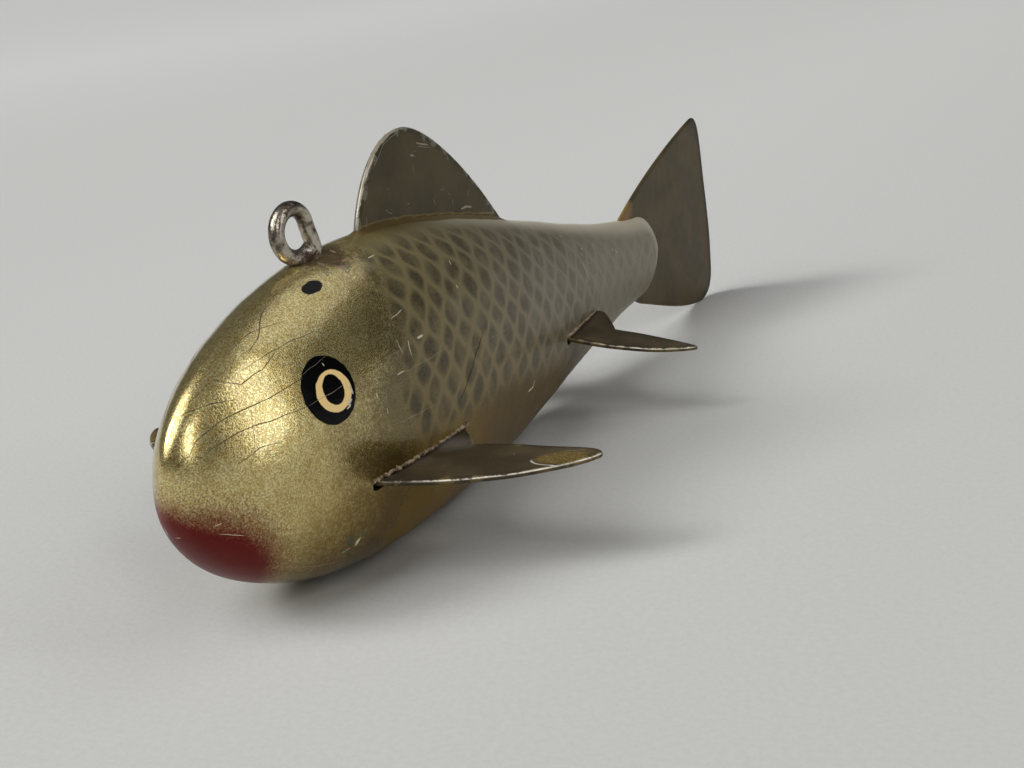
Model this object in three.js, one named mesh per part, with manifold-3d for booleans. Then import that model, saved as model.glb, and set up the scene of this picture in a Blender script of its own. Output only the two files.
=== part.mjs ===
// A carved and painted wooden fish decoy with sheet-metal fins and a screw eye for the line.
// Millimetres, +Z up. The head points to -X, the tail to +X, and the fish's left side faces -Y.
// Inside the fish group the nose tip is at x = 0; the group then centres the whole over the origin.
import * as THREE from 'three';
import { mergeVertices } from 'three/addons/utils/BufferGeometryUtils.js';
import Module from 'manifold-3d';

const wasm = await Module();
wasm.setup();

// Overall fish
const bodyLength = 150;
const tailReach = 31;                // the tail fin past the end of the wood
const overallLength = bodyLength + tailReach;
const fitGap = 0.3;                  // clearance around every piece that is set into the wood
const sheetThickness = 0.8;          // painted sheet metal of the fins
const slotDepth = 4.5;               // how far a side fin's root goes into its saw cut

// Wooden body, seen from the side: heights above the ground
const noseHeight = 22.1;
const backHeight = 40.7;
const backPeak = 42;                 // distance of the highest point from the nose
const bellyPeak = 40;
const bellyLevelEnd = 51;            // the belly stays level to here
const bellyCrown = 0.5;              // height of the belly curve that the flat spot takes off
const tailTop = 23.9;
const tailBottom = 9.3;
const bellySlopeAtTail = 0.07;       // share of the belly's mean slope that is left at the tail
const endRounding = 9.2;             // length over which the tail end is rounded off
const endPinch = 0.9;                // how far the rounding also closes the sides at the end
// Wooden body, seen from above
const halfWidth = 12.35;
const widthPeak = 37.5;
const tailHalfWidth = 1.9;
const sideSlopeAtTail = 0.19;
// How blunt each run of the outline is towards the nose: 2 is an ellipse, more is blunter
const backBluntness = 1.85;
const chinBluntness = 2.25;
const cheekBluntness = 1.9;
// Cross-section: a ridged back over a rounder belly
const backRoundness = 1.87;
const bellyRoundness = 2.23;
const widestAtNose = 0.366;          // height of the widest line as a share of the section
const widestAtTail = 0.5;

// Fins: where an outline crosses the wood's skin it runs on a little, so no corner shows
const rootLap = 0.4;

// Dorsal fin, in the fish's middle plane; pulls are the handles of its curved edges
const dorsal = {
  front: 45, rear: 87, crest: { x: 59.6, z: 52.5 },
  frontPull: { x: 47, z: 46.8 }, crestFrontPull: 52,
  rearPull: { x: 78, z: 43.9 }, crestRearPull: 66,
  tabFront: 47.4, tabFrontDepth: 6, tabRear: 83, tabRearDepth: 4.5,
};

// Tail fin, in the fish's middle plane; its heel is the lower corner, which touches the ground
const tail = {
  rootTop: { x: 133, z: 24.8 }, topPulls: [148, 31.6, 165, 35.8], tip: { x: 175, z: 37.9 },
  tipCorner: { x: 178, z: 38.4 }, edgeTop: { x: 179.2, z: 32.4 },
  edgePulls: [181.1, 12, 180.6, 26], edgeBottom: { x: 180.9, z: 5.4 },
  heelCorner: { x: 180.2, z: 0.2 }, heel: { x: 174, z: 0 },
  bottomPulls: [164, 0.3, 150, 5], rootBottom: { x: 141, z: 7.4 },
  tabFront: 132, tabBottom: 13, tabTop: 20, tabCorner: { x: 135, z: 9.6 },
};

// Side fins: x along the fish, reach measured out from its middle plane
const pectoral = {
  level: 13.3, droop: 0, wall: 11.5,
  rootFront: 25.2, rootRear: 48, tip: 39.8, reach: 35,
  frontPulls: [26.8, 19, 30.8, 31.6], rearEdge: 41.7, fillet: 16.5,
};
const rearFin = {
  level: 13.7, droop: THREE.MathUtils.degToRad(10.5), wall: 7.1,
  rootFront: 91.8, rootRear: 108.8, tip: 101.3, reach: 26.1,
  frontPulls: [91.8, 13, 93.8, 21.8], rearEdge: 101.7, fillet: 12,
};
const sideTabInset = 1.5;            // the tab in the saw cut is shorter than the root at each end
const sideTipRounding = 4;
const sideEdgeHollow = 0.8;          // the back edge is hollowed this much beside the root

// Screw eye: bent wire with its shank in the back of the head
const wireRadius = 1;
const eyeLoopRadius = 3.2;           // to the middle of the wire
const eyeCentre = { x: 31.2, z: 43.6 };
const shankX = 36.2;
const shankBottom = 27;
const shankTop = 38.9;
const neckLean = 0.5;                // the bend from the shank into the loop
const neckRise = 2.4;
const eyeTwist = THREE.MathUtils.degToRad(8.5);
const eyeOffset = 1;                 // the wire's end lies beside the shank, on the left
const eyeEnd = THREE.MathUtils.degToRad(316);
const eyeStart = THREE.MathUtils.degToRad(8);

// Mesh fineness
const noseRun = 36;                  // rings stand closer together up to here
const ringsAtNose = 16;
const ringsAlong = 26;
const ringsAtEnd = 8;
const sectionPoints = 44;
const curvePoints = 12;
const wireSides = 10;
const wireSteps = 60;
const loopPoints = 16;

const paintedWood = new THREE.MeshStandardMaterial({ color: 0xa58d4e, roughness: 0.38, metalness: 0.35 });
const paintedSheet = new THREE.MeshStandardMaterial({ color: 0x564d3a, roughness: 0.5, metalness: 0.3 });
const wornSheet = new THREE.MeshStandardMaterial({ color: 0x6d6455, roughness: 0.42, metalness: 0.7 });
const oldSteel = new THREE.MeshStandardMaterial({ color: 0x7d756b, roughness: 0.35, metalness: 0.9 });

// Rises from 0 to 1 as s goes from 0 to 1, straight up at the start and level at the end
function bluntRise(s, bluntness) {
  return (1 - (1 - s) ** bluntness) ** (1 / bluntness);
}

// Runs level out of one value and eases into another, keeping a share of the slope at the end
function easeTo(s, from, to, endSlope) {
  const share = s * s * (3 - 2 * s) + endSlope * (s * s * s - s * s);
  return from + (to - from) * share;
}

// The body's top, bottom and half width at a distance from the nose
function bodyProfile(x) {
  const rest = (from) => Math.max(0, (x - from) / (bodyLength - from));
  let top = x < backPeak
    ? noseHeight + (backHeight - noseHeight) * bluntRise(x / backPeak, backBluntness)
    : easeTo(rest(backPeak), backHeight, tailTop, 0);
  let bottom = x < bellyPeak
    ? noseHeight - (noseHeight + bellyCrown) * bluntRise(x / bellyPeak, chinBluntness)
    : easeTo(rest(bellyLevelEnd), -bellyCrown, tailBottom, bellySlopeAtTail);
  let half = x < widthPeak
    ? halfWidth * bluntRise(x / widthPeak, cheekBluntness)
    : easeTo(rest(widthPeak), halfWidth, tailHalfWidth, sideSlopeAtTail);
  const past = Math.max(0, (x - bodyLength + endRounding) / endRounding);
  const middle = (top + bottom) / 2;
  const shrink = Math.sqrt(Math.max(0, 1 - past * past));
  top = middle + (top - middle) * shrink;
  bottom = middle + (bottom - middle) * shrink;
  half *= Math.sqrt(1 - (endPinch * past) ** 2);
  return { top, bottom, half };
}

// A point of the body's skin: the angle is 0 at the left side and a quarter turn at the back
function bodyPoint(x, angle) {
  const { top, bottom, half } = bodyProfile(x);
  const along = x / bodyLength;
  const widest = bottom + (top - bottom) * THREE.MathUtils.lerp(widestAtNose, widestAtTail, along);
  const up = Math.sin(angle);
  const out = Math.cos(angle);
  const power = 2 / (up > 0 ? backRoundness : bellyRoundness);
  const rise = up > 0 ? top - widest : widest - bottom;
  const y = -half * Math.sign(out) * Math.abs(out) ** power;
  const z = widest + rise * Math.sign(up) * Math.abs(up) ** power;
  return new THREE.Vector3(x, y, z);
}

// Where the rings stand along the body: close together at both round ends
function ringPlaces() {
  const places = [];
  const endStart = bodyLength - endRounding;
  for (let i = 1; i <= ringsAtNose; i++) {
    places.push(noseRun * (1 - Math.cos((i / ringsAtNose) * Math.PI / 2)));
  }
  for (let i = 1; i <= ringsAlong; i++) {
    places.push(noseRun + (endStart - noseRun) * i / ringsAlong);
  }
  for (let i = 1; i < ringsAtEnd; i++) {
    places.push(endStart + endRounding * Math.sin((i / ringsAtEnd) * Math.PI / 2));
  }
  return places;
}

// The whole carved body as one closed skin of rings between a nose point and an end point
function bodyGeometry() {
  const places = ringPlaces();
  const positions = [0, 0, noseHeight];
  for (const x of places) {
    for (let j = 0; j < sectionPoints; j++) {
      positions.push(...bodyPoint(x, (j / sectionPoints) * 2 * Math.PI).toArray());
    }
  }
  positions.push(bodyLength, 0, (tailTop + tailBottom) / 2);
  const last = positions.length / 3 - 1;
  const faces = [];
  for (let j = 0; j < sectionPoints; j++) {
    const next = (j + 1) % sectionPoints;
    faces.push(0, 1 + j, 1 + next);
    for (let i = 0; i < places.length - 1; i++) {
      const a = 1 + i * sectionPoints;
      const b = a + sectionPoints;
      faces.push(a + j, b + j, b + next);
      faces.push(a + j, b + next, a + next);
    }
    const end = 1 + (places.length - 1) * sectionPoints;
    faces.push(end + j, last, end + next);
  }
  const geometry = new THREE.BufferGeometry();
  geometry.setAttribute('position', new THREE.Float32BufferAttribute(positions, 3));
  geometry.setIndex(faces);
  return geometry;
}

// The dorsal fin's outline: a round front edge, a crest, and a long slope down to the back
function dorsalOutline() {
  const { front, rear, crest, frontPull, rearPull } = dorsal;
  const ridgeFront = bodyProfile(front).top;
  const ridgeRear = bodyProfile(rear).top;
  const start = ridgeFront + rootLap;
  const outline = new THREE.Shape();
  outline.moveTo(dorsal.tabFront, ridgeFront - dorsal.tabFrontDepth);
  outline.lineTo(dorsal.tabRear, ridgeRear - dorsal.tabRearDepth);
  outline.lineTo(rear, ridgeRear - rootLap);
  outline.bezierCurveTo(rearPull.x, rearPull.z, dorsal.crestRearPull, crest.z, crest.x, crest.z);
  outline.bezierCurveTo(dorsal.crestFrontPull, crest.z, frontPull.x, frontPull.z, front, start);
  return outline;
}

// The tail fin's outline: a pointed upper lobe and a round heel, with a tab in the wood
function tailOutline() {
  const { rootTop, rootBottom, tip, tipCorner, edgeTop, edgeBottom, heelCorner, heel, tabCorner } = tail;
  const outline = new THREE.Shape();
  outline.moveTo(rootTop.x, rootTop.z);
  outline.lineTo(tail.tabFront, tail.tabTop);
  outline.lineTo(tail.tabFront, tail.tabBottom);
  outline.quadraticCurveTo(tabCorner.x, tabCorner.z, rootBottom.x, rootBottom.z);
  const [heelX, heelZ, bottomX, bottomZ] = tail.bottomPulls;
  outline.bezierCurveTo(bottomX, bottomZ, heelX, heelZ, heel.x, heel.z);
  outline.quadraticCurveTo(heelCorner.x, heelCorner.z, edgeBottom.x, edgeBottom.z);
  const [lowX, lowZ, highX, highZ] = tail.edgePulls;
  outline.bezierCurveTo(lowX, lowZ, highX, highZ, edgeTop.x, edgeTop.z);
  outline.quadraticCurveTo(tipCorner.x, tipCorner.z, tip.x, tip.z);
  const [topX, topZ, tipX, tipZ] = tail.topPulls;
  outline.bezierCurveTo(tipX, tipZ, topX, topZ, rootTop.x, rootTop.z);
  return outline;
}

// A side fin's outline: x along the fish, y the reach; a convex front edge, a straight back edge
// that flares into the root, and a tab that goes into the saw cut
function sideFinOutline(fin) {
  const outline = new THREE.Shape();
  const [rootX, rootY, tipX, tipY] = fin.frontPulls;
  const tabEnd = fin.wall - slotDepth;
  const hollow = fin.rearEdge - sideEdgeHollow;
  outline.moveTo(fin.rootFront + sideTabInset, tabEnd);
  outline.lineTo(fin.rootRear - sideTabInset, tabEnd);
  outline.lineTo(fin.rootRear, fin.wall - rootLap);
  outline.quadraticCurveTo(fin.rearEdge, fin.wall + 1, hollow, fin.fillet);
  outline.lineTo(fin.rearEdge, fin.reach - sideTipRounding);
  outline.quadraticCurveTo(fin.rearEdge, fin.reach, fin.tip, fin.reach);
  outline.bezierCurveTo(tipX, tipY, rootX, rootY, fin.rootFront, fin.wall - rootLap);
  return outline;
}

// Moves every point of a closed outline outwards by the same distance
function grownOutline(shape, by) {
  const points = shape.getPoints(curvePoints);
  if (points[0].distanceTo(points[points.length - 1]) < 1e-6) {
    points.pop();
  }
  const turn = THREE.ShapeUtils.isClockWise(points) ? -1 : 1;
  const grown = points.map((point, i) => {
    const before = points[(i + points.length - 1) % points.length];
    const after = points[(i + 1) % points.length];
    const into = point.clone().sub(before).normalize();
    const out = after.clone().sub(point).normalize();
    const normal = new THREE.Vector2(into.y + out.y, -into.x - out.x).normalize();
    const sharpness = Math.max(0.5, Math.abs(normal.x * out.y - normal.y * out.x));
    return point.clone().addScaledVector(normal, (turn * by) / sharpness);
  });
  return new THREE.Shape(grown);
}

// A flat sheet with the given outline, its middle plane on z = 0
function sheetGeometry(shape, thickness) {
  const options = { depth: thickness, bevelEnabled: false, curveSegments: curvePoints };
  const geometry = new THREE.ExtrudeGeometry(shape, options);
  geometry.translate(0, 0, -thickness / 2);
  return geometry;
}

// Stands a sheet in the fish's middle plane: the outline's y becomes height
function uprightPlace() {
  return new THREE.Matrix4().makeRotationX(Math.PI / 2);
}

// Lays a sheet out to one side: the outline's y becomes the reach, and the tip droops
function sidePlace(fin, side) {
  const along = new THREE.Vector3(1, 0, 0);
  const outwards = new THREE.Vector3(0, side * Math.cos(fin.droop), -Math.sin(fin.droop));
  const across = along.clone().cross(outwards);
  const place = new THREE.Matrix4().makeBasis(along, outwards, across);
  return place.setPosition(0, 0, fin.level + fin.wall * Math.sin(fin.droop));
}

// The wire of the screw eye: up the shank, over the loop and round to its cut end.
// Extra length at both ends makes the same path serve for the hole that it sits in.
function eyePath(extra) {
  const points = [];
  const place = (x, z, aside) => {
    const y = (shankX - x) * Math.tan(eyeTwist) - aside;
    points.push(new THREE.Vector3(x, y, z));
  };
  place(shankX, shankBottom - extra, 0);
  place(shankX, (shankBottom + shankTop) / 2, 0);
  place(shankX, shankTop, 0);
  place(shankX - neckLean, shankTop + neckRise, 0);
  const stop = eyeEnd + extra / eyeLoopRadius;
  for (let i = 0; i <= loopPoints; i++) {
    const angle = eyeStart + (stop - eyeStart) * i / loopPoints;
    const x = eyeCentre.x + eyeLoopRadius * Math.cos(angle);
    const z = eyeCentre.z + eyeLoopRadius * Math.sin(angle);
    place(x, z, eyeOffset * i / loopPoints);
  }
  return new THREE.CatmullRomCurve3(points, false, 'centripetal');
}

function wireGeometry(radius, extra) {
  const section = new THREE.Shape();
  for (let i = 0; i < wireSides; i++) {
    const angle = (i / wireSides) * 2 * Math.PI;
    const point = [radius * Math.cos(angle), radius * Math.sin(angle)];
    if (i === 0) {
      section.moveTo(...point);
    } else {
      section.lineTo(...point);
    }
  }
  section.closePath();
  const options = { steps: wireSteps, extrudePath: eyePath(extra), bevelEnabled: false };
  return new THREE.ExtrudeGeometry(section, options);
}

// Closed geometry to a solid for cutting, and back
function toSolid(geometry) {
  const bare = geometry.clone();
  bare.deleteAttribute('normal');
  bare.deleteAttribute('uv');
  const merged = mergeVertices(bare, 1e-4);
  return new wasm.Manifold(new wasm.Mesh({
    numProp: 3,
    vertProperties: new Float32Array(merged.attributes.position.array),
    triVerts: new Uint32Array(merged.index.array),
  }));
}

function toGeometry(solid) {
  const mesh = solid.getMesh();
  const geometry = new THREE.BufferGeometry();
  geometry.setAttribute('position', new THREE.BufferAttribute(mesh.vertProperties, 3));
  geometry.setIndex(new THREE.BufferAttribute(mesh.triVerts, 1));
  return geometry;
}

// Every sheet-metal fin: its outline, where it goes, and its finish
const fins = [
  { name: 'dorsal_fin', outline: dorsalOutline(), place: uprightPlace(), finish: paintedSheet },
  { name: 'tail_fin', outline: tailOutline(), place: uprightPlace(), finish: paintedSheet },
];
for (const [side, word] of [[-1, 'left'], [1, 'right']]) {
  fins.push({
    name: `pectoral_fin_${word}`, outline: sideFinOutline(pectoral),
    place: sidePlace(pectoral, side), finish: wornSheet,
  });
  fins.push({
    name: `rear_fin_${word}`, outline: sideFinOutline(rearFin),
    place: sidePlace(rearFin, side), finish: wornSheet,
  });
}

// The carved body, levelled under the belly, with a saw cut for each fin and the eye's hole
function cutBody() {
  const ground = new THREE.BoxGeometry(bodyLength, 4 * halfWidth, 2 * bellyCrown + 2);
  ground.translate(bodyLength / 2, 0, -bellyCrown - 1);
  let solid = toSolid(bodyGeometry()).subtract(toSolid(ground));
  for (const fin of fins) {
    const cut = sheetGeometry(grownOutline(fin.outline, fitGap), sheetThickness + 2 * fitGap);
    solid = solid.subtract(toSolid(cut.applyMatrix4(fin.place)));
  }
  return solid.subtract(toSolid(wireGeometry(wireRadius + fitGap, fitGap)));
}

const fish = new THREE.Group();
fish.position.x = -overallLength / 2;

const body = new THREE.Mesh(toGeometry(cutBody()), paintedWood);
body.name = 'body';
fish.add(body);

for (const fin of fins) {
  const mesh = new THREE.Mesh(sheetGeometry(fin.outline, sheetThickness), fin.finish);
  mesh.name = fin.name;
  mesh.applyMatrix4(fin.place);
  fish.add(mesh);
}

const lineEye = new THREE.Mesh(wireGeometry(wireRadius, 0), oldSteel);
lineEye.name = 'line_eye';
fish.add(lineEye);

const part = new THREE.Group();
part.add(fish);

export default part;
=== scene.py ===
import math
import bpy
import bmesh
import numpy as np
from mathutils import Matrix, Vector, noise
from mathutils.bvhtree import BVHTree
from mathutils.geometry import delaunay_2d_cdt


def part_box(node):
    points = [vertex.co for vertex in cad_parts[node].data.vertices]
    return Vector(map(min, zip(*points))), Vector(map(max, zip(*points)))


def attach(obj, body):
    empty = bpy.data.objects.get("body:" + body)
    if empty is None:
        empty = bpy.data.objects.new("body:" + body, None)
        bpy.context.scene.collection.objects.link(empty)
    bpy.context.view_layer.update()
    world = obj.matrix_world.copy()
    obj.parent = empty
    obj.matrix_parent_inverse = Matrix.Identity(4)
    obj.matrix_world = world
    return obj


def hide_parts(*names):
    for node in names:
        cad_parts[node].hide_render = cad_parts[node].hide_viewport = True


# A carved and painted wooden fish decoy with sheet-metal fins and a screw eye for its line.
# Shapes are worked out in millimetres, with x from the tip of the nose, and stored in metres.

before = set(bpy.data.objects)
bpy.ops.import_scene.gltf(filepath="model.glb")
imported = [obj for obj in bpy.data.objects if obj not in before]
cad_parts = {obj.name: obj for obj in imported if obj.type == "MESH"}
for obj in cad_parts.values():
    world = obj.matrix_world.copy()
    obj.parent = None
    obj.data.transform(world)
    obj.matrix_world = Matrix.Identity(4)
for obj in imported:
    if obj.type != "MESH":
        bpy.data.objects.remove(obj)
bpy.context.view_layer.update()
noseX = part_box("body")[0].x
print("frame loaded, nose at", round(noseX, 4))


def metres(points):                      # millimetres from the nose to the frame's metres
    return np.asarray(points, float) / 1000 + np.array([noseX, 0, 0])


# Camera, where the photographer held it

photoView = {
    "place": (-0.2168, -0.1104, 0.0741),
    "aim": (-0.0460, -0.0211, 0.0207),
    "roll": -6.04,                       # degrees; the real fish lies rolled over by as much
    "lens": 54.5,
    "sensor": 36,
    "width": 1024,                       # the photograph's frame
    "height": 768,
}


def addCamera():
    data = bpy.data.cameras.new("camera")
    data.lens = photoView["lens"]
    data.sensor_width = photoView["sensor"]
    data.clip_start = 0.01
    data.clip_end = 30
    camera = bpy.data.objects.new("camera", data)
    place, aim = Vector(photoView["place"]), Vector(photoView["aim"])
    look = (aim - place).to_track_quat("-Z", "Y").to_matrix()
    roll = Matrix.Rotation(math.radians(photoView["roll"]), 3, "Z")
    camera.matrix_world = Matrix.Translation(place) @ (look @ roll).to_4x4()
    bpy.context.scene.collection.objects.link(camera)
    bpy.context.scene.camera = camera
    return camera


camera = addCamera()


def pixelRay(px, py):                    # start and direction of the sight line through a pixel
    focal = photoView["lens"] / photoView["sensor"] * photoView["width"]
    inCamera = Vector((px - photoView["width"] / 2, photoView["height"] / 2 - py, -focal))
    direction = camera.matrix_world.to_3x3() @ inCamera
    return camera.matrix_world.translation, direction.normalized()


# Shader wires: sums and masks written as Python

class Wire:                              # one socket of a material
    def __init__(self, finish, socket):
        self.finish = finish
        self.socket = socket

    def math(self, operation, *others):
        return self.finish.node("Math", {"operation": operation}, [self, *others])

    def __add__(self, other):
        return self.math("ADD", other)

    __radd__ = __add__

    def __sub__(self, other):
        return self.math("SUBTRACT", other)

    def __rsub__(self, other):
        return self.finish.node("Math", {"operation": "SUBTRACT"}, [other, self])

    def __mul__(self, other):
        return self.math("MULTIPLY", other)

    __rmul__ = __mul__

    def __truediv__(self, other):
        return self.math("DIVIDE", other)

    def __pow__(self, other):
        return self.math("POWER", other)

    def __abs__(self):
        return self.math("ABSOLUTE")

    def most(self, other):
        return self.math("MAXIMUM", other)

    def least(self, other):
        return self.math("MINIMUM", other)

    def about(self, reach):              # a noise from 0 to 1, moved to as much below nothing as above
        return (self - 0.5) * reach

    def rise(self, low, high):           # 0 below low, 1 above high, smooth between them
        settings = {"interpolation_type": "SMOOTHSTEP"}
        return self.finish.node("MapRange", settings, {0: self, 1: low, 2: high, 3: 0.0, 4: 1.0})

    def fall(self, low, high):
        return 1 - self.rise(low, high)


bumpReach = 0.001                        # metres that a height of 1 stands for


class Finish:                            # one material and the nodes in it
    def __init__(self, name):
        self.material = bpy.data.materials.new(name)
        self.material.use_nodes = True
        self.tree = self.material.node_tree
        self.tree.nodes.clear()
        place = self.node("TexCoord", out=3)
        moved = self.vector("SUBTRACT", place, (noseX, 0, 0))
        self.at = self.vector("SCALE", moved, scale=1000)
        self.x, self.y, self.z = self.parts(self.at)

    def node(self, kind, settings=None, sockets=(), out=0):
        made = self.tree.nodes.new("ShaderNode" + kind)
        for key, value in (settings or {}).items():
            setattr(made, key, value)
        pairs = sockets.items() if isinstance(sockets, dict) else enumerate(sockets)
        for key, value in pairs:
            if isinstance(value, Wire):
                self.tree.links.new(value.socket, made.inputs[key])
            else:
                made.inputs[key].default_value = value
        return Wire(self, made.outputs[out])

    def vector(self, operation, *values, scale=None):
        sockets = dict(enumerate(values))
        if scale is not None:
            sockets["Scale"] = scale
        out = 1 if operation in ("LENGTH", "DOT_PRODUCT", "DISTANCE") else 0
        return self.node("VectorMath", {"operation": operation}, sockets, out)

    def parts(self, vector):             # the three numbers of a vector
        split = self.node("SeparateXYZ", sockets=[vector]).socket.node
        return [Wire(self, socket) for socket in split.outputs]

    def mirrored(self):                  # the place, with the right side folded over onto the left one
        return self.node("CombineXYZ", sockets=[self.x, abs(self.y) * -1, self.z])

    def mix(self, share, under, over):
        return self.node("Mix", {"data_type": "RGBA"}, {0: share, 6: under, 7: over}, out=2)

    def grain(self, scale, detail=2.0, rough=0.5, at=None, colour=False):
        sockets = {"Vector": at or self.at, "Scale": scale, "Detail": detail, "Roughness": rough}
        return self.node("TexNoise", sockets=sockets, out=1 if colour else 0)

    def attribute(self, name):
        return self.node("Attribute", {"attribute_name": name}, out=2)

    def shaken(self, at, wobble, scale):                 # the place pushed about by up to the wobble
        shift = self.vector("SUBTRACT", self.grain(scale, colour=True), (0.5, 0.5, 0.5))
        return self.vector("ADD", at, self.vector("SCALE", shift, scale=wobble * 2))

    def edges(self, at, width):          # thin lines between cells of a Voronoi net
        settings = {"feature": "DISTANCE_TO_EDGE"}
        net = self.node("TexVoronoi", settings, {"Vector": at, "Scale": 1.0})
        return net.fall(width * 0.4, width)

    def surface(self, colour, metallic, roughness, height, **fixed):
        bump = self.node("Bump", sockets={"Strength": 1.0, "Distance": bumpReach, "Height": height})
        sockets = {"Base Color": colour, "Metallic": metallic, "Roughness": roughness, "Normal": bump}
        sockets.update({key.replace("_", " "): value for key, value in fixed.items()})
        shader = self.node("BsdfPrincipled", sockets=sockets)
        output = self.tree.nodes.new("ShaderNodeOutputMaterial")
        self.tree.links.new(shader.socket, output.inputs[0])
        return self.material


def tone(red, green, blue):              # a colour as seen on screen, 0 to 255, for a socket
    def straight(value):
        share = value / 255
        return share / 12.92 if share <= 0.04045 else ((share + 0.055) / 1.055) ** 2.4
    return (straight(red), straight(green), straight(blue), 1.0)


# Meshes

def dressMesh(mesh, values, sharp):      # numbers on its points, and the angle of its sharp edges
    for key, numbers in values.items():
        data = mesh.attributes.new(key, "FLOAT", "POINT").data
        data.foreach_set("value", np.asarray(numbers, np.float32))
    mesh.shade_smooth()
    mesh.set_sharp_from_angle(angle=math.radians(sharp))


def addPiece(name, points, faces, slotName, replaced=(), values=None, sharp=40):
    mesh = bpy.data.meshes.new(name)
    mesh.from_pydata(metres(points).tolist(), [], faces)
    work = bmesh.new()
    work.from_mesh(mesh)
    bmesh.ops.recalc_face_normals(work, faces=work.faces)
    work.to_mesh(mesh)
    work.free()
    dressMesh(mesh, values or {}, sharp)
    piece = bpy.data.objects.new(name, mesh)
    bpy.context.scene.collection.objects.link(piece)
    if slotName:
        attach(piece, "root")
    if replaced:
        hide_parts(*replaced)
    return piece


def lumps(points, size, seed):           # smooth unevenness between -1 and 1, with lumps of that size
    shift = Vector((seed * 17.3, seed * 5.1, seed * 9.7))
    return np.array([noise.noise(Vector(p) / size + shift) for p in np.asarray(points)])


# The carved body

wood = {                                 # millimetres, x from the tip of the nose
    "length": 150, "noseHeight": 22.1, "backHeight": 40.7, "backPeak": 42, "backBlunt": 1.85,
    "bellyPeak": 40, "bellyLevelEnd": 51, "bellyCrown": 0.5, "chinBlunt": 2.25, "bellySlope": 0.07,
    "halfWidth": 12.35, "widthPeak": 37.5, "cheekBlunt": 1.9, "sideSlope": 0.19,
    "tailTop": 23.9, "tailBottom": 9.3, "tailHalf": 1.9, "endRounding": 9.2, "endPinch": 0.9,
    "backRound": 1.87, "bellyRound": 2.23, "widestAtNose": 0.366, "widestAtTail": 0.5,
    "ringsNose": 70, "ringsAlong": 160, "ringsEnd": 26, "around": 208, "crowding": 0.5,
    "carving": 0.14, "carvingSize": 9, "sanding": 0.03, "sandingSize": 2.2, "inset": 0.08, "calmEnds": 4,
    "tapeSteps": 120, "tapePlaces": 400, "tapeEnd": 0.05,
}


def bluntRise(share, blunt):
    return (1 - (1 - share) ** blunt) ** (1 / blunt)


def easeTo(share, start, end, endSlope):
    eased = share ** 2 * (3 - 2 * share) + endSlope * (share ** 3 - share ** 2)
    return start + (end - start) * eased


def bodyProfile(x):                      # top, bottom and half width at a distance from the nose
    x = np.asarray(x, float)
    length = wood["length"]

    def rest(start):
        return np.clip((x - start) / (length - start), 0, 1)

    def run(peak):
        return np.clip(x / peak, 0, 1)

    nose, crown = wood["noseHeight"], wood["bellyCrown"]
    headTop = nose + (wood["backHeight"] - nose) * bluntRise(run(wood["backPeak"]), wood["backBlunt"])
    backTop = easeTo(rest(wood["backPeak"]), wood["backHeight"], wood["tailTop"], 0)
    top = np.where(x < wood["backPeak"], headTop, backTop)
    chin = nose - (nose + crown) * bluntRise(run(wood["bellyPeak"]), wood["chinBlunt"])
    belly = easeTo(rest(wood["bellyLevelEnd"]), -crown, wood["tailBottom"], wood["bellySlope"])
    bottom = np.where(x < wood["bellyPeak"], chin, belly)
    cheek = wood["halfWidth"] * bluntRise(run(wood["widthPeak"]), wood["cheekBlunt"])
    flank = easeTo(rest(wood["widthPeak"]), wood["halfWidth"], wood["tailHalf"], wood["sideSlope"])
    half = np.where(x < wood["widthPeak"], cheek, flank)
    past = np.clip((x - length + wood["endRounding"]) / wood["endRounding"], 0, 1)
    middle = (top + bottom) / 2
    shrink = np.sqrt(np.clip(1 - past ** 2, 0, 1))
    half = half * np.sqrt(1 - (wood["endPinch"] * past) ** 2)
    return middle + (top - middle) * shrink, middle + (bottom - middle) * shrink, half


def bodySection(x):                      # height of the widest line, rise above, drop below, half width
    top, bottom, half = bodyProfile(x)
    share = wood["widestAtNose"] + (wood["widestAtTail"] - wood["widestAtNose"]) * x / wood["length"]
    widest = bottom + (top - bottom) * share
    return widest, top - widest, widest - bottom, half


def bodyPoint(x, angle):                 # the angle is 0 at the left side and a quarter turn at the back
    widest, rise, drop, half = bodySection(np.asarray(x, float))
    up, out = np.sin(angle), np.cos(angle)
    power = 2 / np.where(up > 0, wood["backRound"], wood["bellyRound"])
    y = -half * np.sign(out) * np.abs(out) ** power
    z = widest + np.where(up > 0, rise, drop) * np.sign(up) * np.abs(up) ** power
    return np.stack([x + 0 * y, y, z], -1)


def bodyAngle(points):                   # the angle that a point of the skin lies at, 90 at the back
    widest, rise, drop, half = bodySection(points[:, 0])
    up = points[:, 2] - widest
    power = np.where(up > 0, wood["backRound"], wood["bellyRound"]) / 2
    height = np.where(up > 0, rise, drop)
    sine = (np.abs(up) / np.maximum(height, 1e-6)) ** power
    cosine = (np.abs(points[:, 1]) / np.maximum(half, 1e-6)) ** power
    return np.arctan2(np.sign(up) * sine, cosine)


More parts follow.
